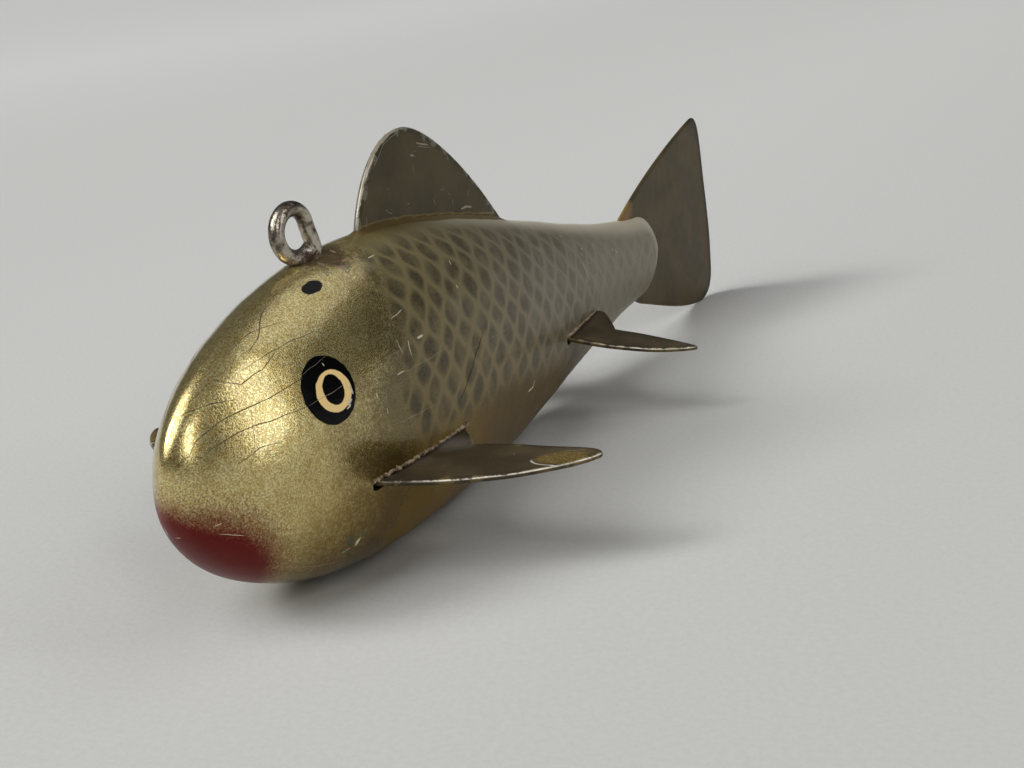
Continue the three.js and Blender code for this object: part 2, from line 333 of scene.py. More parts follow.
def skinDown(points):                    # how far down the skin from the ridge of the back, in millimetres
    steps, end = wood["tapeSteps"], wood["tapeEnd"]
    angles = np.linspace(math.pi / 2, -math.pi / 2, steps)
    places = np.linspace(end, wood["length"] - end, wood["tapePlaces"])
    section = bodyPoint(places[:, None], angles[None, :])
    stride = np.linalg.norm(np.diff(section, axis=1), axis=-1)
    table = np.concatenate([np.zeros((len(places), 1)), np.cumsum(stride, axis=1)], axis=1)
    row = np.clip((points[:, 0] - places[0]) / (places[1] - places[0]), 0, len(places) - 1.001)
    column = np.clip((math.pi / 2 - bodyAngle(points)) / math.pi * (steps - 1), 0, steps - 1.001)
    i, j = row.astype(int), column.astype(int)
    u, v = row - i, column - j
    low = table[i, j] * (1 - v) + table[i, j + 1] * v
    high = table[i + 1, j] * (1 - v) + table[i + 1, j + 1] * v
    return low * (1 - u) + high * u


dorsalRoot = {
    "front": 44.6, "rear": 87.6, "frontFade": 0.8, "rearFade": 2.5,
    "height": 0.5, "width": 1.1, "beside": 0.35, "depth": 4,
}


def rootHump(points):                    # paint and putty drawn up against the foot of the dorsal fin
    root = dorsalRoot
    across = np.clip(1 - (np.abs(points[:, 1]) - root["beside"]) / root["width"], 0, 1)
    front = np.clip((points[:, 0] - root["front"]) / root["frontFade"], 0, 1)
    rear = np.clip((root["rear"] - points[:, 0]) / root["rearFade"], 0, 1)
    top = points[:, 2] > bodyProfile(points[:, 0])[0] - root["depth"]
    return root["height"] * across ** 2 * front * rear * top


def bodyMesh():
    noseRun, length, end = wood["widthPeak"], wood["length"], wood["endRounding"]
    first = noseRun * (1 - np.cos(np.linspace(0, math.pi / 2, wood["ringsNose"] + 1)[1:]))
    second = np.linspace(noseRun, length - end, wood["ringsAlong"] + 1)[1:]
    third = length - end + end * np.sin(np.linspace(0, math.pi / 2, wood["ringsEnd"] + 1)[1:-1])
    places = np.concatenate([first, second, third])
    around = wood["around"]
    turn = np.linspace(0, 2 * math.pi, around, endpoint=False)
    turn = turn + wood["crowding"] * np.sin(2 * turn) / 2    # closer together at the back and the belly
    rings = bodyPoint(places[:, None], turn[None, :]).reshape(-1, 3)
    nose = [[0, 0, wood["noseHeight"]]]
    tail = [[length, 0, (wood["tailTop"] + wood["tailBottom"]) / 2]]
    points = np.concatenate([nose, rings, tail])
    middle = points.copy()
    middle[:, 1] = 0
    middle[:, 2] = bodySection(points[:, 0])[0]
    outwards = points - middle
    outwards /= np.maximum(np.linalg.norm(outwards, axis=1, keepdims=True), 1e-6)
    uneven = wood["carving"] * lumps(points, wood["carvingSize"], 1)
    uneven = uneven + wood["sanding"] * lumps(points, wood["sandingSize"], 2) - wood["inset"]
    ends = wood["calmEnds"]
    calm = np.clip(points[:, 0] / ends, 0, 1) * np.clip((length - points[:, 0]) / ends, 0, 1)
    points = points + outwards * (uneven * calm)[:, None]
    points[:, 2] += rootHump(points)
    points[:, 2] = np.maximum(points[:, 2], 0)
    last = len(points) - 1
    faces = []
    for i in range(len(places) - 1):
        for j in range(around):
            k = (j + 1) % around
            a, b = 1 + i * around, 1 + (i + 1) * around
            faces.append((a + j, b + j, b + k, a + k))
    for j in range(around):
        k = (j + 1) % around
        faces.append((0, 1 + j, 1 + k))
        faces.append((last, last - around + k, last - around + j))
    return points, faces


# Fin outlines: the first number runs along the fish, the second up or out

def bend(*points, steps=16):             # a curve from the first point to the last, pulled by those between
    run = []
    for share in np.linspace(0, 1, steps + 1)[1:]:
        level = [np.array(p, float) for p in points]
        while len(level) > 1:
            level = [a + (b - a) * share for a, b in zip(level, level[1:])]
        run.append(tuple(level[0]))
    return run


def ridge(x):
    return float(bodyProfile(x)[0])


dorsal = {
    "front": 45, "rear": 87, "crest": (59.6, 52.5), "frontPull": (47, 46.8), "crestFrontPull": 52,
    "rearPull": (78, 43.9), "crestRearPull": 66, "tab": (47.4, 83), "tabDepth": (6, 4.5),
}
tail = {
    "rootTop": (133, 24.8), "topPulls": ((148, 31.6), (165, 35.8)), "tip": (175, 37.9),
    "tipCorner": (178, 38.4), "edgeTop": (179.2, 32.4), "edgePulls": ((180.6, 26), (181.1, 12)),
    "edgeBottom": (180.9, 5.4), "heelCorner": (180.2, 0.2), "heel": (174, 0),
    "bottomPulls": ((164, 0.3), (150, 5)), "rootBottom": (141, 7.4), "tabCorner": (135, 9.6),
    "tabFront": 132, "tabHeights": (13, 20),
}
pectoral = {
    "level": 13.3, "droop": 0, "wall": 11.5, "rootFront": 25.2, "rootRear": 48, "tip": 39.8, "reach": 35,
    "frontPulls": ((26.8, 19), (30.8, 31.6)), "rearEdge": 41.7, "fillet": 16.5, "rootPull": -3.0,
}
rearFin = {
    "level": 13.7, "droop": 10.5, "wall": 7.1, "rootFront": 91.8, "rootRear": 108.8, "tip": 101.3,
    "reach": 26.1, "frontPulls": ((91.8, 13), (93.8, 21.8)), "rearEdge": 101.7, "fillet": 12,
    "rootPull": -3.6,
}
sheet = {
    "thickness": 0.8, "slotDepth": 4.5, "rootLap": 0.4, "tabInset": 1.5, "tipRounding": 4, "hollow": 0.8,
    "gap": 0.3, "rootBend": 2.4, "fine": 0.7, "rowGap": 0.87, "rimStep": 0.45, "rimClear": 0.25,
    "rimRows": (0.08, 0.24, 0.45, 0.75, 1.1),
}


def dorsalOutline():
    front, rear, crest = dorsal["front"], dorsal["rear"], dorsal["crest"]
    foot = (rear, ridge(rear) - sheet["rootLap"])
    start = (front, ridge(front) + sheet["rootLap"])
    points = [(dorsal["tab"][0], ridge(front) - dorsal["tabDepth"][0])]
    points += [(dorsal["tab"][1], ridge(rear) - dorsal["tabDepth"][1]), foot]
    points += bend(foot, dorsal["rearPull"], (dorsal["crestRearPull"], crest[1]), crest, steps=40)
    points += bend(crest, (dorsal["crestFrontPull"], crest[1]), dorsal["frontPull"], start, steps=40)
    return points


def tailOutline():
    low, high = tail["tabHeights"]
    points = [tail["rootTop"], (tail["tabFront"], high), (tail["tabFront"], low)]
    points += bend(points[-1], tail["tabCorner"], tail["rootBottom"])
    points += bend(tail["rootBottom"], *reversed(tail["bottomPulls"]), tail["heel"], steps=40)
    points += bend(tail["heel"], tail["heelCorner"], tail["edgeBottom"])
    points += bend(tail["edgeBottom"], *reversed(tail["edgePulls"]), tail["edgeTop"], steps=30)
    points += bend(tail["edgeTop"], tail["tipCorner"], tail["tip"])
    points += bend(tail["tip"], *reversed(tail["topPulls"]), tail["rootTop"], steps=40)[:-1]
    return points


def sideOutline(fin):
    tabEnd, foot = fin["wall"] - sheet["slotDepth"], fin["wall"] - sheet["rootLap"]
    front, rear, edge, reach = fin["rootFront"], fin["rootRear"], fin["rearEdge"], fin["reach"]
    hollow = (edge - sheet["hollow"], fin["fillet"])
    points = [(front + sheet["tabInset"], tabEnd), (rear - sheet["tabInset"], tabEnd), (rear, foot)]
    points += bend((rear, foot), (rear + fin["rootPull"], fin["wall"] + sheet["rootBend"]), hollow)
    straight = (edge, reach - sheet["tipRounding"])
    points += [straight] + bend(straight, (edge, reach), (fin["tip"], reach))
    points += bend((fin["tip"], reach), *reversed(fin["frontPulls"]), (front, foot), steps=40)
    return points


def resample(outline, stride):
    points = []
    for a, b in zip(outline, outline[1:] + outline[:1]):
        a, b = np.array(a), np.array(b)
        parts = max(1, int(np.linalg.norm(b - a) / stride))
        points += [a + (b - a) * i / parts for i in range(parts)]
    return np.array(points)


def toOutline(points, outline):          # distance from each point to the outline
    runs = np.roll(outline, -1, axis=0) - outline
    lengths = np.maximum((runs ** 2).sum(1), 1e-9)
    best = np.full(len(points), 1e9)
    for start, run, length in zip(outline, runs, lengths):
        share = np.clip(((points - start) @ run) / length, 0, 1)
        best = np.minimum(best, np.linalg.norm(points - start - share[:, None] * run, axis=1))
    return best


def insideOutline(points, outline):
    inside = np.zeros(len(points), bool)
    for a, b in zip(outline, np.roll(outline, -1, axis=0)):
        crosses = (a[1] > points[:, 1]) != (b[1] > points[:, 1])
        with np.errstate(divide="ignore", invalid="ignore"):
            at = (b[0] - a[0]) * (points[:, 1] - a[1]) / (b[1] - a[1]) + a[0]
        inside ^= crosses & (points[:, 0] < at)
    return inside


def sheetMesh(outline, place, warp):     # a sheet with rounded rims, bent by warp, put on the fish by place
    rim = resample(outline, sheet["rimStep"])
    radius = sheet["thickness"] / 2
    low, high = rim.min(0), rim.max(0)
    fine = sheet["fine"]
    grid = np.array([
        (low[0] + fine * (i + 0.5 * (j % 2)), low[1] + fine * sheet["rowGap"] * j)
        for j in range(int((high[1] - low[1]) / (fine * sheet["rowGap"])) + 1)
        for i in range(int((high[0] - low[0]) / fine) + 1)
    ])
    grid = grid[insideOutline(grid, rim)]
    grid = grid[toOutline(grid, rim) > radius + sheet["rimClear"]]
    before, after = np.roll(rim, 1, axis=0), np.roll(rim, -1, axis=0)
    along = (after - before) / np.linalg.norm(after - before, axis=1, keepdims=True)
    inwards = np.stack([-along[:, 1], along[:, 0]], 1)
    area = (rim[:, 0] * after[:, 1] - after[:, 0] * rim[:, 1]).sum()
    inwards *= 1 if area > 0 else -1
    rows = [rim]
    for depth in sheet["rimRows"]:
        row = rim + inwards * radius * depth
        rows.append(row[(toOutline(row, rim) > radius * depth * 0.8) & insideOutline(row, rim)])
    flat = np.concatenate(rows + [grid])
    found = delaunay_2d_cdt([Vector(p) for p in flat], [], [list(range(len(rim)))], 1, 1e-5)
    flat = np.array([tuple(v) for v in found[0]])
    triangles = found[2]
    depth = toOutline(flat, rim)
    onRim = depth < 1e-4
    rounded = radius * np.sqrt(1 - (1 - np.clip(depth / radius, 0, 1)) ** 2)
    rounded[onRim] = 0
    bottomIndex = np.where(onRim, np.arange(len(flat)), len(flat) + np.cumsum(~onRim) - 1)
    both = np.concatenate([flat, flat[~onRim]])
    lift = np.concatenate([rounded, -rounded[~onRim]])
    faces = [tuple(t) for t in triangles]
    faces += [tuple(int(bottomIndex[i]) for i in reversed(t)) for t in triangles]
    points = place(both, lift + warp(both))
    edge = np.concatenate([depth, depth[~onRim]])
    ends = place(np.zeros((2, 2)), np.array([0.0, 1.0]))
    upwards = 1 if ends[1, 2] > ends[0, 2] else -1
    return points, faces, edge, lift / radius * upwards


def upright(flat, lift):
    return np.stack([flat[:, 0], lift, flat[:, 1]], 1)


def sideways(fin, side):
    droop = math.radians(fin["droop"])
    outwards = np.array([0, side * math.cos(droop), -math.sin(droop)])
    across = np.cross([1, 0, 0], outwards)
    start = np.array([0, 0, fin["level"] + fin["wall"] * math.sin(droop)])

    def place(flat, lift):
        return start + flat[:, :1] * [1, 0, 0] + flat[:, 1:] * outwards + lift[:, None] * across
    return place


def fromWood(points, skin):              # how far each point is outside the painted wood, in millimetres
    return [1000 * skin.find_nearest(Vector(p))[3] for p in metres(points)]


# The screw eye

eye = {
    "radius": 1.03, "loop": 3.03, "centre": (31.2, 43.45), "shankX": 35.3,
    "shankBottom": 34, "shankMiddle": 35.95, "shankTop": 38.9,
    "neck": (0.35, 2.4), "twist": 8.5, "aside": 1.0, "end": 316, "start": 8, "loopPoints": 16,
    "sides": 28, "steps": 190, "dent": 0.035, "dents": 9,
}


def eyePath():
    lean = math.tan(math.radians(eye["twist"]))
    heights = [eye[key] for key in ("shankBottom", "shankMiddle", "shankTop")]
    spots = [(eye["shankX"], z, 0) for z in heights]
    spots.append((eye["shankX"] - eye["neck"][0], eye["shankTop"] + eye["neck"][1], 0))
    for i in range(eye["loopPoints"] + 1):
        share = i / eye["loopPoints"]
        angle = math.radians(eye["start"] + (eye["end"] - eye["start"]) * share)
        x = eye["centre"][0] + eye["loop"] * math.cos(angle)
        spots.append((x, eye["centre"][1] + eye["loop"] * math.sin(angle), eye["aside"] * share))
    return np.array([(x, (eye["shankX"] - x) * lean - aside, z) for x, z, aside in spots])


def evenly(points, count):               # points at even distances along a run of points
    run = np.concatenate([[0], np.cumsum(np.linalg.norm(np.diff(points, axis=0), axis=1))])
    even = np.linspace(0, run[-1], count)
    return np.stack([np.interp(even, run, points[:, k]) for k in range(3)], 1)


def smoothPath(points, count, between=24):           # even points on a smooth curve through the given ones
    points = np.vstack([2 * points[0] - points[1], points, 2 * points[-1] - points[-2]])
    knots = np.concatenate([[0], np.cumsum(np.linalg.norm(np.diff(points, axis=0), axis=1) ** 0.5)])

    def blend(a, b, i, j, t):
        return a + (b - a) * (t - knots[i]) / (knots[j] - knots[i])

    dense = []
    for i in range(1, len(points) - 2):
        for t in np.linspace(knots[i], knots[i + 1], between, endpoint=i == len(points) - 3):
            level = [blend(points[k], points[k + 1], k, k + 1, t) for k in (i - 1, i, i + 1)]
            level = [blend(level[k], level[k + 1], i - 1 + k, i + 1 + k, t) for k in (0, 1)]
            dense.append(blend(*level, i, i + 1, t))
    return evenly(np.array(dense), count)


def tube(path, sides, radiusAt, capRounding=0.25):   # a closed tube; the radius may change along and around
    along = np.gradient(path, axis=0)
    along /= np.linalg.norm(along, axis=1, keepdims=True)
    first = np.cross(along[0], [0.31, 0.9, 0.17])    # any direction that the path doesn't take
    frames = [first / np.linalg.norm(first)]
    for direction in along[1:]:
        moved = frames[-1] - direction * (frames[-1] @ direction)
        frames.append(moved / np.linalg.norm(moved))
    points = []
    faces = []
    spin = np.linspace(0, 2 * math.pi, sides, endpoint=False)
    last = len(path) - 1
    bevel = capRounding * 0.3
    cap = [(0.0, 0.0), (1 - capRounding, 0.0), (1 - bevel, bevel)]
    rings = [(0, width, shift) for width, shift in cap]
    rings += [(i, 1.0, 0.0) for i in range(1, last)]
    rings += [(last, width, -shift) for width, shift in reversed(cap)]
    for i, width, shift in rings:
        second = np.cross(along[i], frames[i])
        for a in spin:
            out = math.cos(a) * frames[i] + math.sin(a) * second
            points.append(path[i] + along[i] * shift * 0.5 + out * radiusAt(i / last, a) * max(width, 1e-3))
    for r in range(len(rings) - 1):
        for j in range(sides):
            k = (j + 1) % sides
            faces.append((r * sides + j, r * sides + k, (r + 1) * sides + k, (r + 1) * sides + j))
    faces.append(tuple(range(sides))[::-1])
    faces.append(tuple(len(points) - sides + j for j in range(sides)))
    return np.array(points), faces


# Slots for the side fins: saw cuts with ragged lips, a little longer than the fin's root

slot = {
    "ahead": 1.0, "behind": -0.6, "height": 1.4, "rearShare": 0.25, "endShare": 0.55, "past": 4,
    "ragged": 0.22, "raggedSize": 0.8, "along": 60, "deep": 24,
}


def slotCutter(fin, side):
    droop = math.radians(fin["droop"])
    start, stop = fin["rootFront"] - slot["ahead"], fin["rootRear"] + slot["behind"]
    wide, deep = slot["along"], slot["deep"]
    xs = np.linspace(start, stop, wide)
    outs = np.linspace(fin["wall"] - sheet["slotDepth"] - sheet["gap"], fin["wall"] + slot["past"], deep)
    halves = (-slot["height"] / 2, slot["height"] / 2)
    points = np.array([(x, out, lift) for lift in halves for out in outs for x in xs])
    points[:, 2] *= 1 + (slot["rearShare"] - 1) * (points[:, 0] - start) / (stop - start)
    points[:, 2] += slot["ragged"] * lumps(points, slot["raggedSize"], 3 + side)
    edge = np.isclose(points[:, 0], start) | np.isclose(points[:, 0], stop)
    points[edge, 2] *= slot["endShare"]
    placed = sideways(fin, side)(points[:, :2], points[:, 2])
    layer = wide * deep
    faces = []
    for j in range(deep - 1):
        for i in range(wide - 1):
            a = j * wide + i
            faces.append((a, a + 1, a + wide + 1, a + wide))
            faces.append((layer + a, layer + a + wide, layer + a + wide + 1, layer + a + 1))
    border = list(range(wide)) + [(j + 1) * wide - 1 for j in range(1, deep)]
    border += [(deep - 1) * wide + i for i in range(wide - 2, -1, -1)]
    border += [j * wide for j in range(deep - 2, 0, -1)]
    for a, b in zip(border, border[1:] + border[:1]):
        faces.append((a, layer + a, layer + b, b))
    return placed, faces


def cutBody(piece, cutters):             # one boolean cut with all the cutters joined
    points = []
    faces = []
    for placed, its in cutters:
        faces += [tuple(i + len(points) for i in face) for face in its]
        points += placed.tolist()
    knife = addPiece("knife", points, faces, None)
    cut = piece.modifiers.new("slots", "BOOLEAN")
    cut.operation = "DIFFERENCE"
    cut.solver = "EXACT"
    cut.object = knife
    graph = bpy.context.evaluated_depsgraph_get()
    mesh = bpy.data.meshes.new_from_object(piece.evaluated_get(graph))
    piece.modifiers.clear()
    piece.data = mesh
    bpy.data.objects.remove(knife)
    return piece


flankCrack = {                           # pixels of its ends, the rest in metres
    "ends": ((483, 328), (461, 400)), "width": 0.00045, "depth": 0.0004, "wander": 0.00035,
    "bends": 5, "steps": 24,
}


def crackCutter(start, end, skin):       # a thin lens along the skin between two of its points
    steps = flankCrack["steps"]
    points = []
    normal = (skin.find_nearest(start)[1] + skin.find_nearest(end)[1]).normalized()
    aside = (end - start).normalized().cross(normal)
    sink = normal * flankCrack["depth"]
    for i in range(steps + 1):
        share = i / steps
        spot = skin.find_nearest(start.lerp(end, share))[0]
        wander = flankCrack["wander"] * noise.noise(Vector((share * flankCrack["bends"], 3.3, 1.7)))
        gape = flankCrack["width"] / 2 * math.sin(math.pi * (0.03 + 0.94 * share)) ** 0.6
        middle = spot + aside * wander
        points += [middle + aside * gape + sink, middle - sink, middle - aside * gape + sink]
    points = [fishPoint(p) for p in points]
    faces = [(0, 1, 2)]
    for i in range(steps):
        a, b = 3 * i, 3 * i + 3
        for k in range(3):
            faces.append((a + k, b + k, b + (k + 1) % 3, a + (k + 1) % 3))
    faces.append((3 * steps + 2, 3 * steps + 1, 3 * steps))
    return np.array(points), faces


def skinTree(piece):
    mesh = piece.data
    return BVHTree.FromPolygons([v.co for v in mesh.vertices], [p.vertices for p in mesh.polygons])


def skinAt(pixel, skin):                 # the point of the skin that shows at a pixel of the photograph
    start, direction = pixelRay(*pixel)
    return skin.ray_cast(start, direction)[0]


def fishPoint(spot):                     # metres in the frame to millimetres from the nose
    return ((spot.x - noseX) * 1000, spot.y * 1000, spot.z * 1000)


points, faces = bodyMesh()
body = addPiece("carved_body", points, faces, None)
skin = skinTree(body)
cutters = [slotCutter(fin, side) for fin in (pectoral, rearFin) for side in (-1, 1)]
cutters.append(crackCutter(*(skinAt(pixel, skin) for pixel in flankCrack["ends"]), skin))
cutBody(body, cutters)
cutPoints = np.array([fishPoint(v.co) for v in body.data.vertices])
below = [1000 * skin.find_nearest(v.co)[3] for v in body.data.vertices]
dressMesh(body.data, {"down": skinDown(cutPoints), "below": below}, 38)
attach(body, "root")
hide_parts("body")
print("body carved,", len(body.data.polygons), "faces")


buckles = {                              # slight waves of the sheet metal, in millimetres
    "dorsal": {"axis": 1, "start": 38, "reach": 14, "power": 2, "height": 0.25, "size": 14, "seed": 5},
    "tail": {"axis": 0, "start": 150, "reach": 30, "power": 2, "height": 0.35, "size": 18, "seed": 6},
    "side": {"axis": 1, "reach": 12, "power": 1, "height": 0.3, "size": 8},
}


def buckled(wave, **others):
    wave = {**wave, **others}

    def warp(flat):
        far = np.clip((flat[:, wave["axis"]] - wave["start"]) / wave["reach"], 0, 1)
        waves = lumps(np.c_[flat, flat[:, 0] * 0], wave["size"], wave["seed"])
        return far ** wave["power"] * wave["height"] * waves
    return warp


def addFin(node, outline, place, warp, slotName):
    spots, its, edge, lift = sheetMesh(outline, place, warp)
    values = {"edge": edge, "lift": lift, "out": fromWood(spots, skin)}
    return addPiece(node + "_sheet", spots, its, slotName, [node], values, sharp=60)


dorsalPiece = addFin("dorsal_fin", dorsalOutline(), upright, buckled(buckles["dorsal"]), "upright_fins")
tailPiece = addFin("tail_fin", tailOutline(), upright, buckled(buckles["tail"]), "upright_fins")
sidePieces = []
for side, word in ((-1, "left"), (1, "right")):
    for fin, label, seed in ((pectoral, "pectoral_fin_", 7), (rearFin, "rear_fin_", 9)):
        warp = buckled(buckles["side"], start=fin["wall"], seed=seed)
        sidePieces.append(addFin(label + word, sideOutline(fin), sideways(fin, side), warp, "side_fins"))
pectoralSkin = skinTree(sidePieces[0])
print("fins cut")

eyeRun = smoothPath(eyePath(), eye["steps"])


def wireRadius(share, angle):
    dent = noise.noise(Vector((share * eye["dents"], math.cos(angle), math.sin(angle))))
    return eye["radius"] * (1 + eye["dent"] * dent)


spots, its = tube(eyeRun, eye["sides"], wireRadius)
eyePiece = addPiece("screw_eye", spots, its, "eye_wire", ["line_eye"], sharp=50)
print("screw eye bent")

# Crumbs of putty and old paint along the lips of the side fins' slots

crumbs = {
    "radius": 0.33, "steps": 260, "sides": 12, "above": 0.62, "before": 0.1, "after": 0.2, "wander": 0.12,
    "wanderSize": 0.9, "pressed": 0.05, "coarse": (60, 0.8, 0.75), "fine": (170, 1.6, 0.5), "share": 0.75,
}


def addCrumbs(name, fin, side, seed):
    start, stop = fin["rootFront"] - slot["ahead"] - crumbs["before"], fin["rootRear"] + crumbs["after"]
    outside, height = side * 30, fin["level"] + crumbs["above"]
    path = []
    for x in np.linspace(start, stop, crumbs["steps"]):
        hit = skin.ray_cast(Vector(metres((x, outside, height))), Vector((0, -side, 0)))[0]
        path.append(fishPoint(hit))
    path = np.array(path)
    path[:, 2] += crumbs["wander"] * lumps(path, crumbs["wanderSize"], seed)
    path[:, 1] -= side * crumbs["pressed"]
    many, wide, coarse = crumbs["coarse"]
    most, narrow, fine = crumbs["fine"]

    def radiusAt(share, angle):
        across, up = math.cos(angle), math.sin(angle)
        large = noise.noise(Vector((share * many, across * wide + seed, up * wide)))
        small = noise.noise(Vector((share * most, across * narrow, up * narrow + seed)))
        return crumbs["radius"] * (crumbs["share"] + coarse * large + fine * small)
    spots, its = tube(path, crumbs["sides"], radiusAt)
    return addPiece(name, spots, its, "painted_wood", sharp=70)


puttyPieces = []
for side, word in ((-1, "left"), (1, "right")):
    puttyPieces.append(addCrumbs("pectoral_putty_" + word, pectoral, side, 11))
    puttyPieces.append(addCrumbs("rear_putty_" + word, rearFin, side, 12))
print("putty pressed")

# Scratches, chips and cracks of the old paint: slivers a few hundredths of a millimetre proud of the skin

strokeForm = {
    "step": 0.28, "proud": 0.018, "sunk": 0.008, "wander": 0.16, "wanderSize": 2.2, "ragged": 0.45,
    "raggedSize": 0.5, "endShare": 0.25,
}
paleMarks = {                            # pixels along each mark, then half of its width in millimetres
    "shoulder": ([(368, 258), (374, 255)], 0.13), "chipA": ([(449, 260), (451, 265)], 0.13),
    "chipB": ([(456, 285), (458, 288)], 0.162), "strokeA": ([(396, 339), (403, 353)], 0.081),
    "strokeB": ([(408, 340), (409, 348), (412, 356)], 0.122), "strokeC": ([(391, 319), (402, 309)], 0.0648),
    "chipC": ([(417, 338), (423, 335)], 0.243), "chipD": ([(397, 375), (404, 371)], 0.13),
    "nickA": ([(376, 393), (378, 399)], 0.113), "nickB": ([(387, 408), (388, 414)], 0.0726),
    "flankA": ([(535, 380), (533, 387), (528, 392)], 0.162), "flankB": ([(539, 404), (536, 410)], 0.13),
    "chinA": ([(361, 537), (355, 546)], 0.34), "chinB": ([(342, 553), (350, 548)], 0.081),
    "ringA": ([(350, 385), (353, 394)], 0.27), "ringB": ([(352, 399), (348, 405)], 0.32),
    "ringD": ([(347, 409), (351, 404)], 0.2),
    # the mark at the top of the eye's black disc is a painted highlight, a pale spot where the eye catches
    # the light
    "ringC": ([(345, 382), (349, 388)], 0.081), "eyeHighlight": ([(322, 363), (324, 366)], 0.13),
    "mouthA": ([(213, 527), (222, 523)], 0.081), "mouthB": ([(220, 534), (233, 535), (246, 536)], 0.0486),
    "mouthC": ([(164, 528), (168, 535)], 0.0972), "mouthD": ([(175, 538), (181, 538)], 0.057),
}
fineMarks = {                            # long hair scratches
    "longA": ([(376, 363), (402, 349)], 0.0308), "longB": ([(378, 378), (410, 370), (452, 344)], 0.0347),
    "longC": ([(378, 430), (405, 420), (436, 404)], 0.0347), "eyeA": ([(309, 406), (345, 384)], 0.0385),
    "eyeB": ([(300, 377), (327, 355)], 0.027), "chin": ([(287, 567), (318, 566), (341, 560)], 0.0462),
    "cheek": ([(352, 292), (392, 275)], 0.0231), "flank": ([(470, 350), (512, 326)], 0.0231),
}
darkCracks = {                           # cracks of the paint along the grain of the wood
    "low": ([(192, 445), (220, 421), (265, 400), (303, 378)], 0.0874),
    "lower": ([(206, 453), (238, 432), (270, 421), (309, 406)], 0.0795),
    "high": ([(214, 381), (241, 384), (262, 370), (276, 351)], 0.0832),
    "brow": ([(249, 352), (258, 338), (261, 314), (268, 305)], 0.0907),
    "cross": ([(251, 408), (254, 432), (255, 459)], 0.0529),
    "crown": ([(180, 416), (214, 403), (239, 399)], 0.0643),
    "upper": ([(222, 358), (250, 333), (288, 320)], 0.0529),
    "top": ([(240, 372), (286, 343), (318, 330)], 0.0529),
    "cheek": ([(236, 466), (262, 447), (284, 441)], 0.0566),
    "nose": ([(172, 470), (190, 455), (196, 440)], 0.0643),
}
sheetMarks = {                           # peeled and scratched paint of the upright fins, as for the body
    "band": ([(367, 168), (371, 156), (378, 145), (388, 134), (397, 129)], 0.289),
    "bandRim": ([(373, 169), (378, 158), (383, 145), (391, 137), (400, 131)], 0.0595),
    "patch": ([(416, 143), (428, 145), (441, 145)], 0.17),
    "patchRim": ([(417, 146), (430, 147), (442, 146)], 0.051),
    "chip": ([(410, 155), (414, 156)], 0.17), "streak": ([(412, 164), (414, 174)], 0.051),
    "smear": ([(461, 209), (466, 206), (472, 207)], 0.238),
    "foot": ([(478, 213), (486, 213), (494, 212)], 0.0595),
    "footLow": ([(480, 217), (490, 217), (496, 216)], 0.051), "crest": ([(400, 130), (405, 128)], 0.136),
}
greenMarks = {                           # a knock low on the cheek where an older green shows
    "knock": ([(352, 533), (350, 539), (352, 545)], 0.48), "below": ([(344, 550), (349, 553)], 0.256),
    "beside": ([(362, 532), (364, 536)], 0.224),
}
footMarks = {                            # crumbs and chips round the foot of the screw eye
    "lump": ([(330, 250), (336, 253)], 0.4), "right": ([(342, 262), (349, 258)], 0.22),
    "far": ([(353, 257), (358, 254)], 0.16), "left": ([(317, 262), (325, 266)], 0.2),
    "low": ([(335, 268), (344, 266)], 0.18), "under": ([(303, 266), (312, 268)], 0.16),
}


def strokeMesh(run, halfWidth, seed, ground):        # a sliver along a run of points of the ground
    form = strokeForm
    run = np.asarray(run, float)
    length = np.linalg.norm(np.diff(run, axis=0), axis=1).sum()
    count = max(4, int(length / form["step"]))
    path = evenly(run, count + 1)
    wander = np.stack([lumps(path + k * 7, form["wanderSize"], seed) for k in range(3)], 1)
    taper = np.sin(np.linspace(0, math.pi, count + 1))
    path = path + wander * form["wander"] * taper[:, None]
    ragged = 1 + form["ragged"] * lumps(path, form["raggedSize"], seed + 1)
    widths = halfWidth * ragged * (form["endShare"] + (1 - form["endShare"]) * taper ** 0.5)
    along = np.gradient(path, axis=0)
    points = []
    for spot, way, width in zip(path, along, widths):
        centre, normal = ground.find_nearest(Vector(metres(spot)))[:2]
        centre = np.array(fishPoint(centre))
        aside = np.cross(way, normal)
        aside = aside / max(np.linalg.norm(aside), 1e-9) * width
        high, low = np.array(normal) * form["proud"], np.array(normal) * form["sunk"]
        points += [centre - aside - low, centre + high, centre + aside - low, centre - 2 * low]
    faces = [(0, 1, 2, 3)]
    for i in range(count):
        a, b = 4 * i, 4 * i + 4
        for k in range(4):
            faces.append((a + k, b + k, b + (k + 1) % 4, a + (k + 1) % 4))
    faces.append((4 * count + 3, 4 * count + 2, 4 * count + 1, 4 * count))
    return points, faces


def shownRun(pixels, ground):            # the ground's points at pixels of the photograph
    spots = [skinAt(pixel, ground) for pixel in pixels]
    return [fishPoint(spot) for spot in spots if spot]


def hiddenRuns(count, side, low, high, lengths, seed):       # marks where the photograph doesn't show
    runs = []
    for i in range(count):
        picks = [noise.noise(Vector((seed + i * 3.7, k * 5.3, 0.5))) + 0.5 for k in range(4)]
        x = low + (high - low) * min(max(picks[0] * 1.5 - 0.25, 0), 1)
        angle = math.radians(10 + 70 * min(max(picks[1], 0), 1))
        reach = lengths[0] + (lengths[1] - lengths[0]) * min(max(picks[2], 0), 1)
        turn = (picks[3] - 0.5) * 0.5
        spots = [bodyPoint(x + reach * s, angle + turn * s) for s in (0, 0.5, 1)]
        runs.append([(p[0], -side * p[1], p[2]) for p in spots])
    return runs


